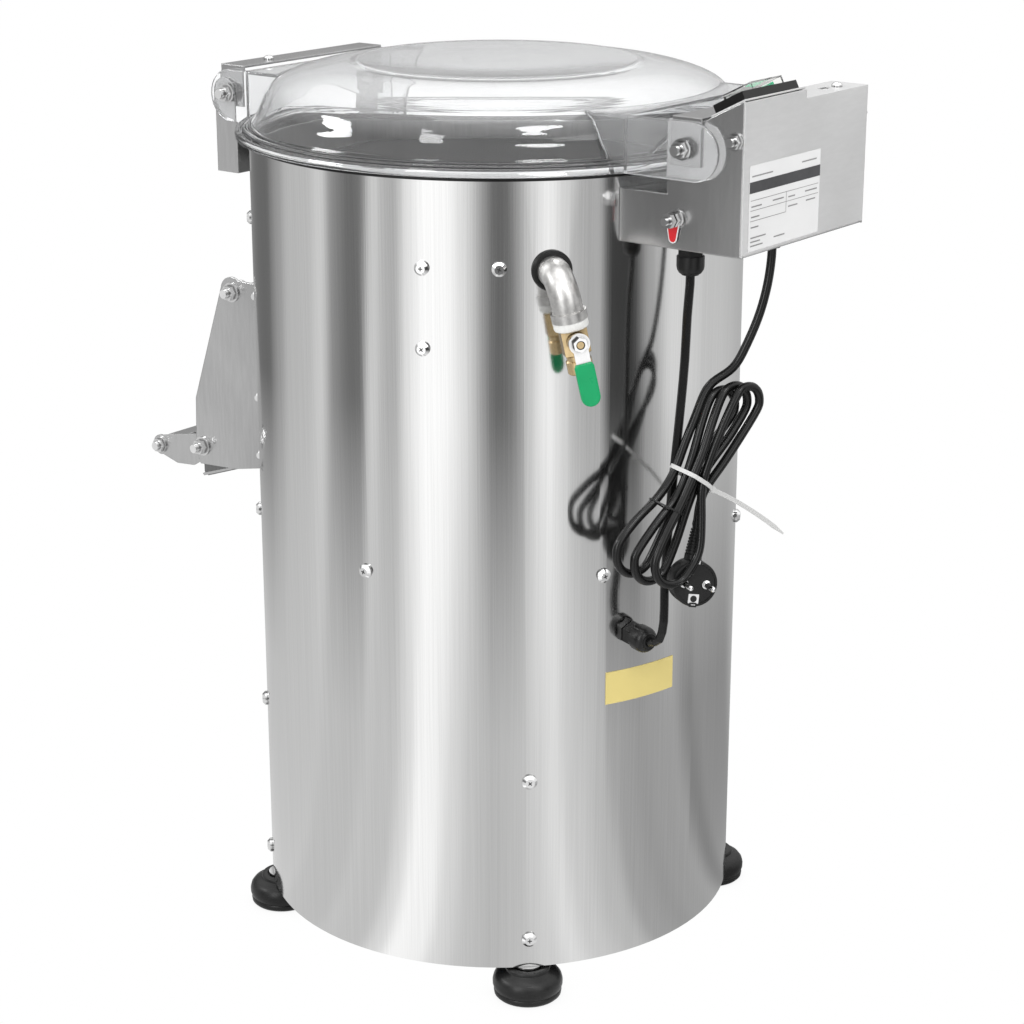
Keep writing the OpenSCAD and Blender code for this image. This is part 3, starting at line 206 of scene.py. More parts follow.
# Bolts and brass get painted shade in their corners
boltLook = metalMaterial("boltSteel", 0.85, 0.1, (120, 120, 120), brush=0.05, bump=0.02,
                         cornerShade=0.005)
castLook = metalMaterial("castSteel", 0.54, 0.36, (220, 220, 220), (1, 0.99, 0.97), brush=0.1,
                         bump=0.25)
brassLook = metalMaterial("brass", 0.66, 0.25, (160, 160, 160), (0.95, 0.72, 0.40), brush=0.12,
                          bump=0.1, cornerShade=0.006)
ironLook = metalMaterial("pulleyIron", 0.3, 0.38, (90, 90, 500), brush=0.05)
shadeLook = metalMaterial("shadedSteel", 0.22, 0.3, sheetGrain, brush=0.03)

black = (0.006, 0.006, 0.006)
rubberLook = plainMaterial("blackRubber", black, 0.36, 0.3, 260, 0.2, shine=0.3)
sealLook = plainMaterial("sealRubber", black, 0.3, 0.3, 200, 0.1, shine=0.25)
sheathLook = plainMaterial("cableSheath", (0.004, 0.004, 0.004), 0.22, 0.25, 500, 0.05, shine=0.3)
plugLook = plainMaterial("plugRubber", black, 0.4, 0.3, 400, 0.2, shine=0.25)
glandLook = plainMaterial("glandPlastic", black, 0.3, 0.2, 300, 0.12, shine=0.28)
blackLook = plainMaterial("blackPlastic", black, 0.2, 0.2, 300, 0.04, shine=0.3)
greenLook = plainMaterial("greenRocker", (0.0, 0.42, 0.19), 0.25, 0.12, 200, 0.04, shine=0.3)
sleeveLook = plainMaterial("greenSleeve", (0.0, 0.26, 0.09), 0.3, 0.12, 240, 0.08, shine=0.3)
tapeLook = plainMaterial("whiteTape", (0.6, 0.6, 0.585), 0.55, 0.06, 600, 0.35)
tieLook = plainMaterial("tiePlastic", (0.46, 0.46, 0.455), 0.4, 0.04, 60, 0.01)
gritLook = plainMaterial("abrasiveGrit", (0.03, 0.03, 0.029), 0.85, 0.6, 900, 1.0)
paintLook = plainMaterial("motorPaint", (0.04, 0.09, 0.14), 0.35, 0.15, 200, 0.1, coat=0.2)
darkLook = plainMaterial("darkSteel", (0.05, 0.05, 0.052), 0.45, 0.2, 200, 0.15, metallic=0.4)
housingLook = plainMaterial("castHousing", (0.10, 0.115, 0.13), 0.55, 0.25, 260, 0.4,
                            metallic=0.3)
drainLook = plainMaterial("drainPlastic", (0.04, 0.04, 0.042), 0.45, 0.15, 200, 0.1)
plateWhite = plainMaterial("plateWhite", (0.62, 0.62, 0.62), 0.45, 0.03, 120, 0.02)
plateYellow = plainMaterial("plateYellow", (0.56, 0.46, 0.16), 0.5, 0.05, 120, 0.02)
bandDark = plainMaterial("bandDark", (0.035, 0.035, 0.038), 0.5, 0.2, 120, 0.02)
bandGrey = plainMaterial("bandGrey", (0.22, 0.22, 0.22), 0.5, 0.2, 120, 0.02)
tagRed = plainMaterial("tagRed", (0.5, 0.004, 0.01), 0.4, 0.1, 200, 0.03)
# Near-black steel that paints the shade in the screws' cross recesses
recessShade = plainMaterial("recessShade", (0.05, 0.05, 0.05), 0.5, 0.2, 300, 0.05, metallic=0.6)
rimShade = plainMaterial("rimShade", (0.05, 0.05, 0.052), 0.15, 0.1, 60, 0.02)

lidLook = clearMaterial("clearLid", (0.975, 0.98, 0.985), 0.012, 0.012, 1.45, 0.98,
                        haze=(0.75, 0.78, 0.86))
cheekLook = clearMaterial("cheekClear", (0.97, 0.975, 0.98), 0.02, 0.05, 1.4, 0.93)
bootLook = clearMaterial("clearBoot", (0.98, 0.98, 0.97), 0.02, 0.05, 1.2)

looks = {
    "drum_shell": drumLook, "drum_seal": sealLook, "chamber_wall": linerLook,
    "abrasive_lining": gritLook, "chamber_floor": linerLook, "legs": darkLook, "feet": rubberLook,
    "drain_pipe": drainLook, "bearing_housing": housingLook, "shaft_seal": rubberLook,
    "turntable": gritLook, "large_pulley": ironLook, "motor": paintLook, "motor_deck": darkLook,
    "motor_pulley": ironLook, "drive_belt": rubberLook, "chute": sheetLook, "door": sheetLook,
    "door_gasket": rubberLook, "door_lever": sheetLook, "lever_rod": boltLook, "lid": lidLook,
    "front_strap": strapLook, "latch_bail": sheetLook, "lid_catch": sheetLook,
    "box_shell": sideLook, "box_cover": plateLook, "hinge_strap": strapLook,
    "switch_bezel": blackLook, "switch_rocker": greenLook, "switch_boot": bootLook,
    "box_gland": glandLook, "drum_gland": glandLook, "mains_bushing": glandLook,
    "motor_cable": sheathLook, "mains_lead": sheathLook, "cord_hank": sheathLook,
    "mains_plug": plugLook, "cable_tie": tieLook, "inlet_grommet": rubberLook,
    "inlet_elbow": castLook, "spray_nozzle": boltLook, "valve_body": brassLook,
    "valve_handle": boltLook, "handle_sleeve": sleeveLook,
}
for name, o in nodes.items():
    o.data.materials.clear()
    o.data.materials.append(looks.get(name, boltLook))
print("materials done")


# Shapes
def finishMesh(name, bm, material, body, smooth=True, angle=35):
    mesh = bpy.data.meshes.new(name)
    bm.normal_update()
    bm.to_mesh(mesh)
    bm.free()
    o = bpy.data.objects.new(name, mesh)
    scene.collection.objects.link(o)
    mesh.materials.append(material)
    if smooth:
        mesh.shade_smooth()
        mesh.set_sharp_from_angle(angle=math.radians(angle))
    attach(o, body)
    return o


def smoothRoute(points, each):
    out = []
    for i in range(len(points) - 1):
        a, b = points[max(i - 1, 0)], points[i]
        c, d = points[i + 1], points[min(i + 2, len(points) - 1)]
        for k in range(each):
            t = k / each
            out.append(0.5 * (2 * b + (c - a) * t + (2 * a - 5 * b + 4 * c - d) * t * t
                              + (3 * b - 3 * c + d - a) * t * t * t))
    return out + [points[-1]]


def tubeAlong(name, route, radius, material, body, sides=14):
    bm = bmesh.new()
    side = None
    rings = []
    for i, p in enumerate(route):
        t = (route[min(i + 1, len(route) - 1)] - route[max(i - 1, 0)]).normalized()
        if side is None:
            side = t.orthogonal().normalized()
        side = (side - t * side.dot(t)).normalized()
        other = t.cross(side)
        rings.append([bm.verts.new(p + (side * math.cos(a) + other * math.sin(a)) * radius)
                      for a in (2 * math.pi * k / sides for k in range(sides))])
    for a, b in zip(rings, rings[1:]):
        for k in range(sides):
            bm.faces.new((a[k], a[(k + 1) % sides], b[(k + 1) % sides], b[k]))
    bm.faces.new(rings[0][::-1])
    bm.faces.new(rings[-1])
    return finishMesh(name, bm, material, body)


# Places and small solids, with sizes in millimetres
def placeAt(origin, z=(0, 0, 1), x=(1, 0, 0)):
    up = Vector(z).normalized()
    side = (Vector(x) - up * Vector(x).dot(up)).normalized()
    m = Matrix((side, up.cross(side), up)).transposed().to_4x4()
    m.translation = Vector(origin)
    return m


def roundDrum(phi, r, z):
    a = math.radians(phi)
    return Vector((r * math.cos(a), r * math.sin(a), z))


def outOf(phi):
    return roundDrum(phi, 1, 0)


def intoRow(bm, place):
    bmesh.ops.transform(bm, matrix=Matrix.Scale(0.001, 4) @ place, verts=bm.verts)


# Revolves (radius, height) points round Z; a rib lifts every second column by that much
def lathe(name, profile, material, body, place, sides=64, rib=0.0, angle=35):
    bm = bmesh.new()
    rings = []
    for r, z in profile:
        ring = []
        for k in range(sides):
            a = 2 * math.pi * k / sides
            q = r + (rib if k % 2 and r > rib else 0.0)
            ring.append(bm.verts.new((q * math.cos(a), q * math.sin(a), z)))
        rings.append(ring)
    for a, b in zip(rings, rings[1:]):
        for k in range(sides):
            bm.faces.new((a[k], a[(k + 1) % sides], b[(k + 1) % sides], b[k]))
    if profile[0] == profile[-1]:
        bmesh.ops.remove_doubles(bm, verts=bm.verts, dist=1e-5)
    else:
        bm.faces.new(rings[0][::-1])
        bm.faces.new(rings[-1])
    bmesh.ops.recalc_face_normals(bm, faces=bm.faces)
    intoRow(bm, place)
    return finishMesh(name, bm, material, body, angle=angle)


def addSlab(bm, low, high):
    c = bmesh.ops.create_cube(bm, size=1)["verts"]
    for v in c:
        v.co = Vector([low[k] + (v.co[k] + 0.5) * (high[k] - low[k]) for k in range(3)])
    return c


def slabs(name, boxes, material, body, place=Matrix(), bevel=0.0):
    bm = bmesh.new()
    for low, high in boxes:
        addSlab(bm, low, high)
    if bevel:
        bmesh.ops.bevel(bm, geom=bm.edges[:], offset=bevel, segments=2, affect="EDGES")
    bmesh.ops.recalc_face_normals(bm, faces=bm.faces)
    intoRow(bm, place)
    return finishMesh(name, bm, material, body)


# Extrudes an outline in X and Y along Z
def extrude(name, outline, low, high, material, body, place, angle=35):
    bm = bmesh.new()
    a = [bm.verts.new((x, y, low)) for x, y in outline]
    b = [bm.verts.new((x, y, high)) for x, y in outline]
    n = len(outline)
    for k in range(n):
        bm.faces.new((a[k], a[(k + 1) % n], b[(k + 1) % n], b[k]))
    bm.faces.new(a[::-1])
    bm.faces.new(b)
    bmesh.ops.recalc_face_normals(bm, faces=bm.faces)
    intoRow(bm, place)
    return finishMesh(name, bm, material, body, angle=angle)


# Outline round a set of (x, y) points
def hullOf(points):
    pts = sorted(set(points))
    chains = []
    for order in (pts, pts[::-1]):
        chain = []
        for q in order:
            while len(chain) > 1 and ((chain[-1][0] - chain[-2][0]) * (q[1] - chain[-2][1])
                                      - (chain[-1][1] - chain[-2][1]) * (q[0] - chain[-2][0])) <= 0:
                chain.pop()
            chain.append(q)
        chains += chain[:-1]
    return chains


def circleAt(cx, cy, r, n=24):
    angles = [2 * math.pi * k / n for k in range(n)]
    return [(cx + r * math.cos(a), cy + r * math.sin(a)) for a in angles]


def roundEdges(o, width, segments, angle=None):
    edge = o.modifiers.new("edge", "BEVEL")
    edge.width, edge.segments, edge.limit_method = width, segments, "ANGLE"
    if angle:
        edge.angle_limit = math.radians(angle)


# Mains lead: down from the box, three turns in a flat hank, then the plug. A hank point is
# (across, along, out) in millimetres from hankAt, with the hank leaning and spun in degrees.
lead = {"diameter": 0.0074, "hankAt": (250, -70, 469), "lean": 35, "spin": 16}
leadRoute = [(284, -5, 666), (284, -5, 652), (283, -8, 630), (280, -14, 606), (275, -23, 583),
             (269, -34, 563)]
hankLean, hankSpin = math.radians(lead["lean"]), math.radians(lead["spin"])
along = Vector((math.sin(hankSpin) * math.sin(hankLean), math.cos(hankSpin) * math.sin(hankLean),
                math.cos(hankLean)))
outward = Vector((math.cos(hankSpin), -math.sin(hankSpin), 0))
across = -outward.cross(along)


def inHank(u, v, w):
    return (Vector(lead["hankAt"]) + across * u + along * v + outward * w) / 1000


# A fold of the hank: an arc of n points that moves outward from w0 to w1
def turn(cu, cv, r, start, end, w0, w1, n=7):
    out = []
    for k in range(n):
        a = math.radians(start + (end - start) * k / (n - 1))
        out.append((cu + r * math.cos(a), cv + r * math.sin(a), w0 + (w1 - w0) * k / (n - 1)))
    return out


hank = [(-30, 78, 1.5), (-29, 52, 3), (-26, 26, 3.8), (-22, 2, 3.8), (-25, -22, 3.8),
        (-34, -44, 4)]
hank += turn(-21, -69, 19, 170, 370, 4.2, 4.6)
hank += [(-5, -40, 5.5), (-8, -18, 6.3), (-8.5, 2, 6.5), (-5, 28, 6.5), (0, 50, 6.3)]
hank += turn(-11, 68, 15, 0, 180, 6, 6, 6)
hank += [(-24, 48, 8), (-19, 24, 10.3), (-15, 2, 11.3), (-15, -18, 12), (-21, -40, 12.5)]
hank += turn(-8, -69, 18, 180, 360, 12.8, 12.8)
hank += [(7, -44, 12.3), (2, -20, 11.6), (-1, 2, 11.5), (1, 26, 12.5), (5, 50, 13.5)]
hank += turn(-8, 75, 15, 0, 180, 13.6, 13.6, 6)
hank += [(-21, 52, 15.5), (-17, 26, 18), (-15, 2, 19), (-14, -18, 20), (-15, -42, 21.5)]
hank += turn(3, -64, 17.5, 180, 360, 23, 28)
hank += [(21, -44, 27.5), (10, -20, 23.5), (-2, 2, 19.8), (-9, 26, 20.3), (-14, 54, 21.3)]
hank += turn(-2, 80, 14, 170, 0, 21.4, 20.6, 6)
hank += [(11, 56, 19.4), (9, 28, 17.5), (6, 4, 15.8), (10, -10, 14.5), (18, -23, 13)]
route = smoothRoute([Vector(p) / 1000 for p in leadRoute] + [inHank(*p) for p in hank], 6)
for i in range(3):
    inner = [(a + 2 * b + c) / 4 for a, b, c in zip(route, route[1:], route[2:])]
    route = [route[0]] + inner + [route[-1]]
mainsCord = tubeAlong("mains_cord", route, lead["diameter"] / 2, sheathLook, "machine")
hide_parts("mains_lead", "cord_hank")

# White tie round the hank and the motor cable, with its lock and tail, and a wire twist below it
tie = {"along": 6.0, "wide": 3.4, "thick": 1.1, "slack": 4.0, "cable": (241.6, -77.8, 473.0),
       "lockOut": (2.5, 14), "tailEnd": (289, 20, 411), "tailRise": 6, "tailWide": 1.9,
       "tailThick": 0.55, "tailSteps": 16}
wire = {"along": -26, "wide": 1.4, "thick": 1.0, "slack": 4.0}


def inHankPlane(p):
    d = Vector(p) - Vector(lead["hankAt"])
    return d.dot(across), d.dot(along), d.dot(outward)


# A band pulled tight round the lead's strands at one height, and round any extra points, and
# how far across it reaches
def bandRound(name, band, material, extra=()):
    at, wide, slack, thick = (band[key] for key in ("along", "wide", "slack", "thick"))
    near = []
    for q in route:
        u, v, w = inHankPlane(q * 1000)
        if abs(v - at) < wide and -40 < u < 40:
            near += circleAt(u, w, slack, 12)
    for q in extra:
        u, v, w = inHankPlane(q)
        near += circleAt(u, w, slack, 12)
    inner = hullOf([(round(a, 3), round(b, 3)) for a, b in near])
    cx = sum(a for a, b in inner) / len(inner)
    cy = sum(b for a, b in inner) / len(inner)
    bm = bmesh.new()
    rings = []
    for grow, v in ((0, -wide / 2), (thick, -wide / 2), (thick, wide / 2), (0, wide / 2)):
        ring = []
        for a, b in inner:
            d = math.hypot(a - cx, b - cy)
            u, w = a + (a - cx) / d * grow, b + (b - cy) / d * grow
            ring.append(bm.verts.new(inHank(u, at + v, w)))
        rings.append(ring)
    n = len(inner)
    for a, b in zip(rings, rings[1:] + rings[:1]):
        for k in range(n):
            bm.faces.new((a[k], a[(k + 1) % n], b[(k + 1) % n], b[k]))
    bmesh.ops.recalc_face_normals(bm, faces=bm.faces)
    return finishMesh(name, bm, material, "machine", angle=50), max(a for a, b in inner)


tieBand, tieEdge = bandRound("tieBand", tie, tieLook, [tie["cable"]])
twist = bandRound("wireTwist", wire, sheathLook)[0]
tieHead = inHank(tieEdge + tie["lockOut"][0], tie["along"], tie["lockOut"][1]) * 1000
tailEnd, last = Vector(tie["tailEnd"]), tie["tailSteps"]
tailMid = (tieHead + tailEnd) / 2 + Vector((0, 0, tie["tailRise"]))
tailRun = []
for k in range(last + 1):
    t = k / last
    tailRun.append(tieHead * (1 - t) ** 2 + tailMid * 2 * t * (1 - t) + tailEnd * t ** 2)
bm = bmesh.new()
sections = []
for k, q in enumerate(tailRun):
    run = (tailRun[min(k + 1, last)] - tailRun[max(k - 1, 0)]).normalized()
    flat = (along - run * along.dot(run)).normalized()
    edge = run.cross(flat)
    wide = {last - 1: 1.3, last: 0.7}.get(k, tie["tailWide"])
    sections.append([bm.verts.new((q + flat * a * wide + edge * b * tie["tailThick"]) / 1000)
                     for a, b in ((-1, -1), (1, -1), (1, 1), (-1, 1))])
for a, b in zip(sections, sections[1:]):
    for k in range(4):
        bm.faces.new((a[k], a[(k + 1) % 4], b[(k + 1) % 4], b[k]))
bm.faces.new(sections[0][::-1])
bm.faces.new(sections[-1])
bmesh.ops.recalc_face_normals(bm, faces=bm.faces)
tieTail = finishMesh("tieTail", bm, tieLook, "machine", angle=20)
tieLock = slabs("tieLock", [((-3, -3.2, -2.6), (3.4, 3.2, 2.6))], tieLook, "machine",
                placeAt(tieHead, outward, across), 0.7)
for piece in (tieBand, tieTail, tieLock):
    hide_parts("cable_tie")

# Moulded plug with two pins, side contacts, a socket for the earth pin and a ribbed relief
plug = {"at": (263, -81, 392), "turn": -40, "lean": -10.5, "radius": 19, "back": -8, "face": 15,
        "pinOff": 9.5, "pinLength": 19, "ribs": 9, "ribStep": 2.6}
lean = math.radians(plug["lean"])
plugUp = Vector((0, -math.sin(lean), math.cos(lean)))
plugFace = outOf(plug["turn"])
plugFace = (plugFace - plugUp * plugFace.dot(plugUp)).normalized()
plugPlace = placeAt(plug["at"], plugFace, plugUp)
pr, pb, pf = plug["radius"], plug["back"], plug["face"]
plugShape = [(pr - 5, pb), (pr - 2, pb + 0.8), (pr - 0.4, pb + 3), (pr, pb + 6), (pr, pf - 1.2),
             (pr - 0.5, pf - 0.3), (pr - 1.2, pf), (pr - 2.2, pf), (pr - 2.4, pf - 0.8),
             (0.5, pf - 0.8)]
plugBody = lathe("plugBody", plugShape, plugLook, "machine", plugPlace, 56)
notches = [((s * 17.4 - 1.9, -3.2, pf - 12), (s * 17.4 + 1.9, 3.2, pf + 0.25)) for s in (-1, 1)]
plugNotches = slabs("plugNotches", notches, blackLook, "machine", plugPlace, 0.4)
clips = [((s * 17.2 - 0.5, -2.0, pf - 10), (s * 17.2 + 2.2 * (s > 0) + 0.5, 2.0, pf + 0.5))
         for s in (-1, 1)]
clips += [((-16.6, -4.6, pf - 1.2), (-8.4, 4.6, pf - 0.35))]
plugClips = slabs("plugClips", clips, boltLook, "machine", plugPlace, 0.25)
earthHole = lathe("earthHole", [(2.7, pf - 0.5), (2.7, pf - 0.1), (0.3, pf - 0.1)], blackLook,
                  "machine", plugPlace @ placeAt((-12.4, 0, 0)), 24)
tipZ = pf + plug["pinLength"]
pinShape = [(3.6, pf - 0.7), (3.6, pf - 0.2), (2.4, pf), (2.4, tipZ - 1.8), (1.9, tipZ - 0.4),
            (0.9, tipZ)]
pinBits = [lathe("plugPin", pinShape, boltLook, "machine",
                 plugPlace @ placeAt((0, s * plug["pinOff"], 0)), 24) for s in (-1, 1)]
ribs = [(7.6, 12)]
for k in range(plug["ribs"]):
    z = 22 + k * plug["ribStep"]
    r = 7.2 - 0.32 * k
    ribs += [(r, z - 0.9), (r, z + 0.5), (r - 1.1, z + 0.7), (r - 1.1, z + 1.5)]
relief = lathe("plugRelief", ribs + [(4.2, 47), (3.9, 50), (3.4, 50.4)], plugLook, "machine",
               placeAt(plug["at"], plugUp), 28)
plugPieces = [plugBody, plugNotches, plugClips, earthHole, relief] + pinBits
for piece in plugPieces:
    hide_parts("mains_plug")

# Plates on the control box and the drum, and the tag at the earth stud. A line of the rating
# plate is (across, up, long), and its rules are (up, end).
plates = {"endX": 310.5, "sideY": -84, "width": 104, "bottom": 672, "height": 67, "thick": 0.45,
          "band": (45.5, 54.3), "split": 53.6}
rules = ((39.5, 102), (31.7, 102), (23.5, 54))
lines = ((3, 34.4, 15), (34, 35.2, 16), (57, 34.6, 10), (82, 35.4, 18), (3, 26.3, 12),
         (57, 27.0, 14), (84, 27.8, 14), (3, 18.2, 11), (3, 10, 22), (3, 6.8, 14), (3, 3.6, 18),
         (37, 6, 16), (3, 58, 30), (76, 59.5, 22))


def onBoxEnd(out):
    return placeAt((plates["endX"] + out, plates["sideY"], plates["bottom"]), (1, 0, 0), (0, 1, 0))


slabs("ratingPlate", [((0, 0, 0.05), (plates["width"], plates["height"], plates["thick"]))],
      plateWhite, "machine", onBoxEnd(0))
onPlate = onBoxEnd(plates["thick"])
slabs("plateBand", [((0, plates["band"][0], 0), (plates["width"], plates["band"][1], 0.12))],
      bandDark, "machine", onPlate)
rows = [((2, z, 0), (end, z + 0.45, 0.1)) for z, end in rules]
rows += [((plates["split"], 23.5, 0), (plates["split"] + 0.5, 40, 0.1))]
rows += [((x, z, 0), (x + long, z + 1.1, 0.1)) for x, z, long in lines]
slabs("plateLines", rows, bandGrey, "machine", onPlate)


# A plate that follows the drum between two headings and two heights
def curvedPlate(name, phis, heights, r, thick, material, n=14):
    bm = bmesh.new()
    low, high = heights
    columns = []
    for k in range(n + 1):
        a = phis[0] + (phis[1] - phis[0]) * k / n
        corners = ((r, low), (r + thick, low), (r + thick, high), (r, high))
        columns.append([bm.verts.new(roundDrum(a, q, z) / 1000) for q, z in corners])
    for a, b in zip(columns, columns[1:]):
        for k in range(4):
            bm.faces.new((a[k], b[k], b[(k + 1) % 4], a[(k + 1) % 4]))
    bm.faces.new(columns[0])
    bm.faces.new(columns[-1][::-1])
    bmesh.ops.recalc_face_normals(bm, faces=bm.faces)
    return finishMesh(name, bm, material, "machine")


drumPlate = {"headings": (-27.1, -7.9), "heights": (269, 298), "radius": 215.05, "thick": 0.4}
curvedPlate("yellowPlate", drumPlate["headings"], drumPlate["heights"], drumPlate["radius"],
            drumPlate["thick"], plateYellow)
tag = {"at": (247.3, -93.4, 690.0), "long": 13.2, "back": (6.4, 3.9), "front": (5.2, 3.0)}
tagPlace = placeAt(tag["at"], (0, -1, 0), (1, 0, 0))
tagBack = hullOf(circleAt(0, 0, tag["back"][0]) + circleAt(0, -tag["long"], tag["back"][1]))
tagFront = hullOf(circleAt(0, -1, tag["front"][0]) + circleAt(0, -tag["long"], tag["front"][1]))
extrude("tagBorder", tagBack, 0, 0.4, plateWhite, "machine", tagPlace)
extrude("redTag", tagFront, 0.4, 0.65, tagRed, "machine", tagPlace)

# White tape round the valve's thread, and ribbed nuts of the cable glands
inlet = {"heading": -40.5, "height": 648, "out": 249, "wall": 215, "tilt": 12.5}
glands = {"box": (249, -70, 668), "drumHeading": -20.5, "drumHeight": 330, "drumOut": 217.5}
tilt = math.radians(inlet["tilt"])
inletOut = outOf(inlet["heading"])
inletSide = Vector((-inletOut.y, inletOut.x, 0))
pipeDown = inletSide * math.sin(tilt) - Vector((0, 0, math.cos(tilt)))
elbowTop = roundDrum(inlet["heading"], inlet["out"], inlet["height"])
tapeShape = [(10.5, 33.15), (13.6, 33.2), (14.1, 34.4), (13.7, 36.2), (14.0, 38.0), (13.5, 39.6),
             (12.6, 40.2), (10.5, 40.1), (10.5, 33.15)]
lathe("threadTape", tapeShape, tapeLook, "machine", placeAt(elbowTop, pipeDown, inletOut), 40,
      0.25)
glandNut = [(9.0, 8.6), (10.9, 8.7), (10.9, 17), (10.4, 19.6), (8.6, 22.4), (5.4, 24.3),
            (4.0, 24.4), (4.0, 23.0), (9.0, 15.0), (9.0, 8.6)]
boxNutPlace = placeAt(glands["box"], (0, 0, -1))
drumNutPlace = placeAt(roundDrum(glands["drumHeading"], glands["drumOut"], glands["drumHeight"]),
                       outOf(glands["drumHeading"]), (0, 0, 1))
lathe("boxGlandNut", glandNut, glandLook, "machine", boxNutPlace, 60, 0.35, 50)
lathe("drumGlandNut", glandNut, glandLook, "machine", drumNutPlace, 60, 0.35, 50)

# Cross recesses of the drum's screws, dark slabs that paint the shade in them: the headings and
# heights of each row
cross = {"long": 1.9, "wide": 0.45, "deep": 0.6, "rise": 0.06, "head": 4.5, "radius": 215}
screwRows = (((-138, -83, -28, 28, 83, 138), (386,)), ((-68.3, 68.3), (649, 583)),
             ((-51.7, -141, 141), (650,)), ((-135, -45, 45, 135), (57, 206)))
crossSpots = [(a, z) for headings, heights in screwRows for a in headings for z in heights]
bm = bmesh.new()
for k, (a, z) in enumerate(crossSpots):
    spot = placeAt(roundDrum(a, cross["radius"] + cross["head"], z), outOf(a), (0, 0, 1))
    spot = spot @ Matrix.Rotation(0.5 + k * 0.7, 4, "Z")
    for x, y in ((cross["long"], cross["wide"]), (cross["wide"], cross["long"])):
        verts = addSlab(bm, (-x, -y, -cross["deep"]), (x, y, cross["rise"]))
        bmesh.ops.transform(bm, matrix=Matrix.Scale(0.001, 4) @ spot, verts=verts)
finishMesh("screwCrosses", bm, recessShade, "machine", False)

# Water inlet: wall grommet, brass valve body and the lever's soft sleeve
valve = {"bodyStart": 38, "bodyEnd": 61.5, "across": 12.2, "end": 77, "stem": 49, "stemOut": 17,
         "sleeveStart": 16, "sleeveEnd": 52, "sleeveWide": 15.6, "sleeveUnder": -1.2,
         "sleeveOver": 4.0}
grommetShape = [(12.55, 0.4), (16.6, 0.4), (16.6, 2.0), (15.4, 3.6), (12.55, 3.6), (12.55, 0.4)]
wallPlace = placeAt(inletOut * inlet["wall"] + Vector((0, 0, inlet["height"])), inletOut,
                    (0, 0, 1))
grommet = lathe("grommet", grommetShape, rubberLook, "machine", wallPlace, 64)
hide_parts("inlet_grommet")
vb, ve, va = valve["bodyStart"], valve["bodyEnd"], valve["across"]
vEnd, vOut = valve["end"], valve["stemOut"]
downPipe = placeAt(elbowTop, pipeDown, inletOut)
bodyHex = lathe("valveHex", [(va - 1.5, vb), (va, vb + 1), (va, ve - 1), (va - 1.2, ve)],
                brassLook, "machine", downPipe, 6)
roundShape = [(va - 3, ve - 1), (va - 3, ve + 4), (va - 1.8, ve + 5), (va - 1.8, vEnd - 1),
              (va - 2.6, vEnd), (8.2, vEnd), (8.0, vEnd - 8), (0.5, vEnd - 8)]
bodyRound = lathe("valveRound", roundShape, brassLook, "machine", downPipe, 40)
stemShape = [(8, 4), (8, vOut - 1), (7.4, vOut - 0.1), (3.4, vOut - 0.1), (3.4, vOut + 5.4),
             (2.8, vOut + 6)]
stemFoot = elbowTop + pipeDown * valve["stem"]
stem = lathe("valveStem", stemShape, brassLook, "machine",
             placeAt(stemFoot, inletOut, pipeDown), 36)
for piece in (bodyHex, bodyRound, stem):
    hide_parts("valve_body")
sleeveHalf = valve["sleeveWide"] / 2
sleeveTip, start = valve["sleeveEnd"] - sleeveHalf, valve["sleeveStart"]
sleeveShape = [(start, -sleeveHalf + 1.5), (start + 3, -sleeveHalf)]
sleeveShape += [(sleeveTip + sleeveHalf * math.cos(t), sleeveHalf * math.sin(t))
                for t in [-math.pi / 2 + math.pi * k / 14 for k in range(15)]]
sleeveShape += [(start + 3, sleeveHalf), (start, sleeveHalf - 1.5)]
sleeve = extrude("leverSleeve", sleeveShape, valve["sleeveUnder"], valve["sleeveOver"], sleeveLook,
                 "valve_lever", placeAt(stemFoot + inletOut * vOut, inletOut, pipeDown))
roundEdges(sleeve, 0.0012, 3)
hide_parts("handle_sleeve")

# Rubber feet: sole, bulge, a dip and a collar round the stud
feet = {"circle": 206, "headings": (-135, -45, 45, 135)}
footShape = [(0.5, 0.6), (20, 0.6), (22, 0.0), (27.6, 0.4), (29.4, 2.2), (29.8, 5.0), (29.0, 6.4),
             (29.6, 7.4), (30.7, 10.5), (30.8, 14), (29.8, 18), (27.4, 21.2), (24.0, 23.2),
             (21.0, 24.0), (19.8, 24.8), (19.6, 27.2), (18.8, 28.0), (14.5, 28.0), (13.6, 26.8),
             (0.5, 26.8)]
for phi in feet["headings"]:
    foot = lathe("foot", footShape, rubberLook, "machine",
                 placeAt(roundDrum(phi, feet["circle"], 0)), 64, 0.0, 50)
    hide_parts("feet")

# Thin seal on the drum's edge, and turned-down cheeks of the chute's spout
sealShape = [(211.5, 719.9), (217.0, 719.9), (217.4, 720.4), (217.4, 723.0), (216.9, 723.6),
             (211.5, 723.6), (211.5, 719.9)]
sealRing = lathe("sealRing", sealShape, sealLook, "machine", Matrix(), 160)
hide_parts("drum_seal")
spout = {"halfWide": 92.5, "halfThick": 0.8,
         "side": [(-228, 406.5), (-281, 406.5), (-281, 386), (-279, 383.6), (-276, 382.8),
                  (-228, 399.5)]}
for side in (-1, 1):
    flap = extrude("spoutCheek", spout["side"], -spout["halfThick"], spout["halfThick"], shadeLook,
                   "machine", placeAt((0, side * spout["halfWide"], 0), (0, -1, 0), (1, 0, 0)))
# Dark lines in the steps of the lid's rim, painted shade: radius, height and size
rimLines = ((225.8, 729.9, 0.55), (219.4, 731.3, 0.8), (214.0, 733.2, 0.9))
for r, z, size in rimLines:
    ring = [(r + size * math.cos(a), z + size * math.sin(a))
            for a in [math.pi * q / 4 for q in range(8)]]
    line = lathe("rimLine", ring + ring[:1], rimShade, "lid_cover", Matrix(), 160, 0.0, 60)

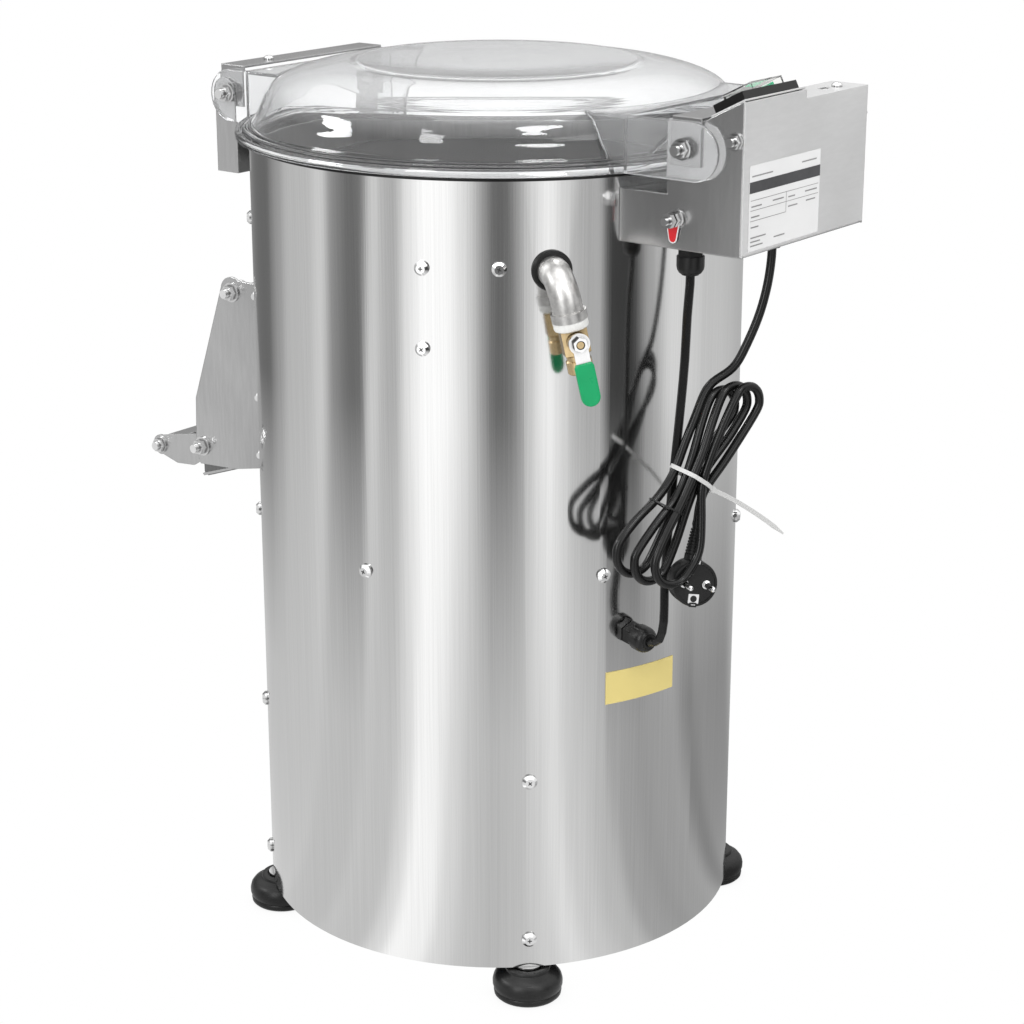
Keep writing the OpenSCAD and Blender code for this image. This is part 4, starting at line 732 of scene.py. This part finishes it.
# Clear lid: a smooth dome with rolled steps at its rim and a box-like wing with two cheeks at
# each end. The profiles are (radius, height).
lidShape = {"wall": 3.0, "cheekIn": 96, "cheekThick": 4, "low": 724.0, "top": 770.0,
            "rearEnd": 268, "frontEnd": -224, "rearWall": 205, "frontWall": -205,
            "crown": 788.0, "crownRadius": 119.0, "wingHalf": 97, "wingInner": 191.0,
            "wingThick": 3}
crown, wingHalf, wingThick = lidShape["crown"], lidShape["wingHalf"], lidShape["wingThick"]
rimProfile = [(214.5, 724.1), (226.3, 724.1), (227.0, 725.0), (227.0, 728.4), (226.2, 730.3),
              (224.6, 731.0), (223.0, 730.4), (222.0, 729.0), (220.8, 728.8), (219.8, 730.2),
              (218.6, 732.2), (216.8, 732.9), (215.2, 732.4), (214.2, 731.6), (213.2, 732.6)]
domeKnots = [(212.4, 735.4), (206.3, 745.6), (202.6, 754.4), (197.4, 764.4), (187.6, 772.0),
             (169.0, 778.8), (146.0, 783.6), (127.0, 785.4)]
domeCurve = [(q.x, q.y) for q in smoothRoute([Vector(k + (0,)) for k in domeKnots], 5)]
topProfile = [(125.2, 785.7), (123.4, 787.0), (121.4, 787.9), (lidShape["crownRadius"], crown),
              (60.0, crown), (0.0, crown)]
outerDome = domeCurve + topProfile
innerDome = []
for k, (r, z) in enumerate(outerDome):
    a, b = outerDome[max(k - 1, 0)], outerDome[min(k + 1, len(outerDome) - 1)]
    dx, dz = b[0] - a[0], b[1] - a[1]
    size = math.hypot(dx, dz)
    inside = max(0.0, r + dz / size * -lidShape["wall"]) if r > 0.1 else 0.0
    innerDome.append((inside, z + dx / size * lidShape["wall"]))
innerRim = [(209.6, 731.0), (211.8, 727.0), (214.5, 724.1)]
lidDome = lathe("lidDome", rimProfile + outerDome + innerDome[::-1] + innerRim, lidLook,
                "lid_cover", Matrix(), 176, 0.0, 40)


def domeHeight(r):
    for (r0, z0), (r1, z1) in zip(outerDome, outerDome[1:]):
        if r1 <= r <= r0:
            return z0 + (z1 - z0) * (r0 - r) / max(1e-6, r0 - r1)
    return 728.0 if r > outerDome[0][0] else crown


def domeRadius(z):
    for (r0, z0), (r1, z1) in zip(outerDome, outerDome[1:]):
        if z0 <= z <= z1 and z1 > z0:
            return r0 + (r1 - r0) * (z - z0) / (z1 - z0)
    return 213.0


# Where a cheek meets the dome at one height
def cheekMeets(z):
    r = max(domeRadius(max(z, 736.0)), 160)
    return math.sqrt(r ** 2 - (lidShape["cheekIn"] + 2) ** 2) - 1.2


lidParts = [lidDome]
low, top, yIn = lidShape["low"], lidShape["top"], lidShape["cheekIn"]
mid, cheekHalf = (low + top) / 2, (top - low) / 2
for label, s, end, wall in (("Rear", 1, lidShape["rearEnd"], lidShape["rearWall"]),
                            ("Front", -1, -lidShape["frontEnd"], -lidShape["frontWall"])):
    outline = [(s * cheekMeets(z), z) for z in [low + (top - low) * k / 6 for k in range(7)]]
    outline += [(s * (end + cheekHalf * math.cos(t)), mid + cheekHalf * math.sin(t))
                for t in [math.pi / 2 - math.pi * k / 16 for k in range(17)]]
    for side in (-1, 1):
        place = placeAt((0, yIn + 4 if side > 0 else -yIn, 0), (0, -1, 0), (1, 0, 0))
        cheek = extrude("cheek%s%s" % (label, "LR"[side > 0]), outline, 0, lidShape["cheekThick"],
                        cheekLook, "lid_cover", place)
        roundEdges(cheek, 0.0009, 2, 50)
        lidParts.append(cheek)
    spread = [-wingHalf + 2 * wingHalf * k / 20 for k in range(21)]
    sheetTop = [(s * math.sqrt(lidShape["wingInner"] ** 2 - y * y), y) for y in spread]
    sheetTop += [(s * wall, wingHalf), (s * wall, -wingHalf)]
    lidParts.append(extrude("wingTop%s" % label, sheetTop, top - wingThick, top, cheekLook,
                            "lid_cover", Matrix()))
    face = [(y, domeHeight(math.hypot(wall - 1.5, y)) - 1.5) for y in spread]
    face += [(wingHalf, top - 3.2), (-wingHalf, top - 3.2)]
    place = placeAt((s * wall - (wingThick if s > 0 else 0), 0, 0), (1, 0, 0), (0, 1, 0))
    lidParts.append(extrude("wingWall%s" % label, face, 0, wingThick, cheekLook, "lid_cover",
                            place))
for piece in lidParts:
    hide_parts("lid")
print("pieces done")

# Floor, lights and the studio round them
studio = {"floor": 0.0, "white": 1.0, "ceiling": 1.5, "key": 20, "fill": 8, "top": 10, "lamps": 9}
# Brightness round the room by heading in degrees, far from the drum and close to it, and the
# distances in metres between which one gives way to the other
room = [(-180, 0.26), (-170, 0.44), (-162, 0.66), (-147, 0.7), (-138, 0.88), (-130, 0.34),
        (-121, 0.2), (-115, 0.22), (-109, 0.92), (-103, 0.64), (-98, 0.58), (-92, 1.12),
        (-84, 1.44), (-75, 1.42), (-68, 1.12), (-63, 0.84), (-59, 0.46), (-54, 0.18),
        (-48, 0.18), (-44, 0.44), (-38, 0.92), (-30, 1.28), (-23, 0.95), (-13, 0.56), (-7, 0.6),
        (-2, 0.06), (10, 0.06), (19, 0.5), (32, 0.95), (62, 0.75), (110, 0.5), (168, 0.18)]
nearRoom = [(-180, 0.72), (-134, 0.78), (-96, 0.78), (-90, 0.98), (-84, 1.34), (-77, 1.28),
            (-71, 0.96), (-63, 0.78), (-55, 0.73), (-46, 0.78), (-37, 0.88), (-30, 1.02),
            (-22, 0.84), (-10, 0.7), (-1, 0.54), (12, 0.48), (28, 0.46), (40, 0.26), (50, 0.34),
            (76, 0.3), (100, 0.5), (165, 0.7)]
nearEnds, farBegins, nearShare = 0.75, 2.1, 0.92


# A grey ramp by the heading of a vector, and the vector's parts
def headingBands(tree, vector, stops):
    split = addNode(tree, "ShaderNodeSeparateXYZ")
    tree.links.new(vector, split.inputs["Vector"])
    heading = addNode(tree, "ShaderNodeMath", _operation="ARCTAN2")
    tree.links.new(split.outputs["Y"], heading.inputs[0])
    tree.links.new(split.outputs["X"], heading.inputs[1])
    wide = addNode(tree, "ShaderNodeMapRange", From_Min=-math.pi, From_Max=math.pi)
    tree.links.new(heading.outputs["Value"], wide.inputs["Value"])
    shades = [((a + 180) / 360, (b, b, b)) for a, b in stops]
    bands = rampOf(tree, wide.outputs["Result"], shades)
    bands.color_ramp.interpolation = "EASE"
    return bands, split


# Rays for which the studio is plain white: the camera's own and those through clear plastic
def seenWhite(tree):
    rays = addNode(tree, "ShaderNodeLightPath")
    both = addNode(tree, "ShaderNodeMath", _operation="MAXIMUM")
    tree.links.new(rays.outputs["Is Camera Ray"], both.inputs[0])
    tree.links.new(rays.outputs["Is Transmission Ray"], both.inputs[1])
    return rays, both


# The floor: white with a faint contact shadow where it is seen, the room where it is mirrored
def litWhite(name):
    m, tree, bsdf = newMaterial(name)
    out = tree.nodes["Material Output"]
    rays, both = seenWhite(tree)
    glow = addNode(tree, "ShaderNodeEmission", Color=(1, 1, 1, 1))
    ao = addNode(tree, "ShaderNodeAmbientOcclusion", Distance=0.05)
    ao.samples = 6
    fall = addNode(tree, "ShaderNodeMapRange", From_Min=0.2, From_Max=0.7,
                   To_Min=studio["white"] * 0.9, To_Max=studio["white"])
    tree.links.new(ao.outputs["AO"], fall.inputs["Value"])
    tree.links.new(fall.outputs["Result"], glow.inputs["Strength"])
    coord = addNode(tree, "ShaderNodeTexCoord")
    bands = headingBands(tree, coord.outputs["Object"], room)[0]
    nearBands = headingBands(tree, coord.outputs["Object"], nearRoom)[0]
    mirrored = addNode(tree, "ShaderNodeEmission", Strength=1.0)
    length = addNode(tree, "ShaderNodeVectorMath", _operation="LENGTH")
    tree.links.new(coord.outputs["Object"], length.inputs[0])
    close = addNode(tree, "ShaderNodeMapRange", From_Min=nearEnds, From_Max=farBegins,
                    To_Min=nearShare, To_Max=0.0)
    tree.links.new(length.outputs["Value"], close.inputs["Value"])
    evened = addNode(tree, "ShaderNodeMix", _data_type="RGBA")
    tree.links.new(close.outputs["Result"], evened.inputs[0])
    tree.links.new(bands.outputs["Color"], evened.inputs[6])
    tree.links.new(nearBands.outputs["Color"], evened.inputs[7])
    tree.links.new(evened.outputs[2], mirrored.inputs["Color"])
    bsdf.inputs["Base Color"].default_value = (0.8, 0.8, 0.8, 1)
    bsdf.inputs["Roughness"].default_value = 0.6
    first = addNode(tree, "ShaderNodeMixShader")
    tree.links.new(rays.outputs["Is Glossy Ray"], first.inputs["Fac"])
    tree.links.new(bsdf.outputs["BSDF"], first.inputs[1])
    tree.links.new(mirrored.outputs["Emission"], first.inputs[2])
    mix = addNode(tree, "ShaderNodeMixShader")
    tree.links.new(both.outputs["Value"], mix.inputs["Fac"])
    tree.links.new(first.outputs["Shader"], mix.inputs[1])
    tree.links.new(glow.outputs["Emission"], mix.inputs[2])
    tree.links.new(mix.outputs["Shader"], out.inputs["Surface"])
    return m


floorMesh = bmesh.new()
bmesh.ops.create_grid(floorMesh, x_segments=2, y_segments=2, size=6)
floorData = bpy.data.meshes.new("floor")
floorMesh.to_mesh(floorData)
floorMesh.free()
floor = bpy.data.objects.new("floor", floorData)
floor.location = (0, 0, studio["floor"])
floorData.materials.append(litWhite("floorWhite"))
scene.collection.objects.link(floor)

world = bpy.data.worlds.new("studio")
world.use_nodes = True
scene.world = world
wt = world.node_tree
background = wt.nodes["Background"]
coord = addNode(wt, "ShaderNodeTexCoord")
bands, split = headingBands(wt, coord.outputs["Generated"], room)
rise = addNode(wt, "ShaderNodeMapRange", From_Min=0.25, From_Max=0.7)
wt.links.new(split.outputs["Z"], rise.inputs["Value"])
lifted = addNode(wt, "ShaderNodeMix", _data_type="RGBA")
wt.links.new(rise.outputs["Result"], lifted.inputs[0])
wt.links.new(bands.outputs["Color"], lifted.inputs[6])
lifted.inputs[7].default_value = (studio["ceiling"],) * 3 + (1,)
rays, both = seenWhite(wt)
pick = addNode(wt, "ShaderNodeMix", _data_type="RGBA")
wt.links.new(both.outputs["Value"], pick.inputs[0])
wt.links.new(lifted.outputs[2], pick.inputs[6])
pick.inputs[7].default_value = (1, 1, 1, 1)
wt.links.new(pick.outputs[2], background.inputs["Color"])


def areaLight(name, place, aim, size, power, shape="RECTANGLE"):
    data = bpy.data.lights.new(name, "AREA")
    data.shape = shape
    data.size, data.size_y = size
    data.energy = power
    o = bpy.data.objects.new(name, data)
    o.location = place
    o.rotation_euler = (Vector(aim) - Vector(place)).to_track_quat("-Z", "Y").to_euler()
    scene.collection.objects.link(o)


areaLight("keyLight", (0.25, -2.7, 1.5), (0, 0, 0.45), (0.5, 1.8), studio["key"])
areaLight("fillLight", (2.4, -0.6, 1.3), (0, 0, 0.5), (0.9, 1.6), studio["fill"])
areaLight("topLight", (0.2, -0.2, 2.4), (0, 0, 0.7), (1.4, 1.4), studio["top"])
# Two round lamps that the lid mirrors, placed by heading and rise from a point on the lid
lamps = (("leftLamp", -141, 25, (-0.007, -0.203, 0.754)),
         ("rightLamp", -29, 41, (0.149, -0.137, 0.754)))
for name, heading, rise, near in lamps:
    h, e = math.radians(heading), math.radians(rise)
    toLamp = Vector((math.cos(e) * math.cos(h), math.cos(e) * math.sin(h), math.sin(e)))
    areaLight(name, Vector(near) + toLamp * 2.2, near, (0.85, 0.3), studio["lamps"], "ELLIPSE")
scene.view_settings.view_transform = "Standard"
print("studio done")
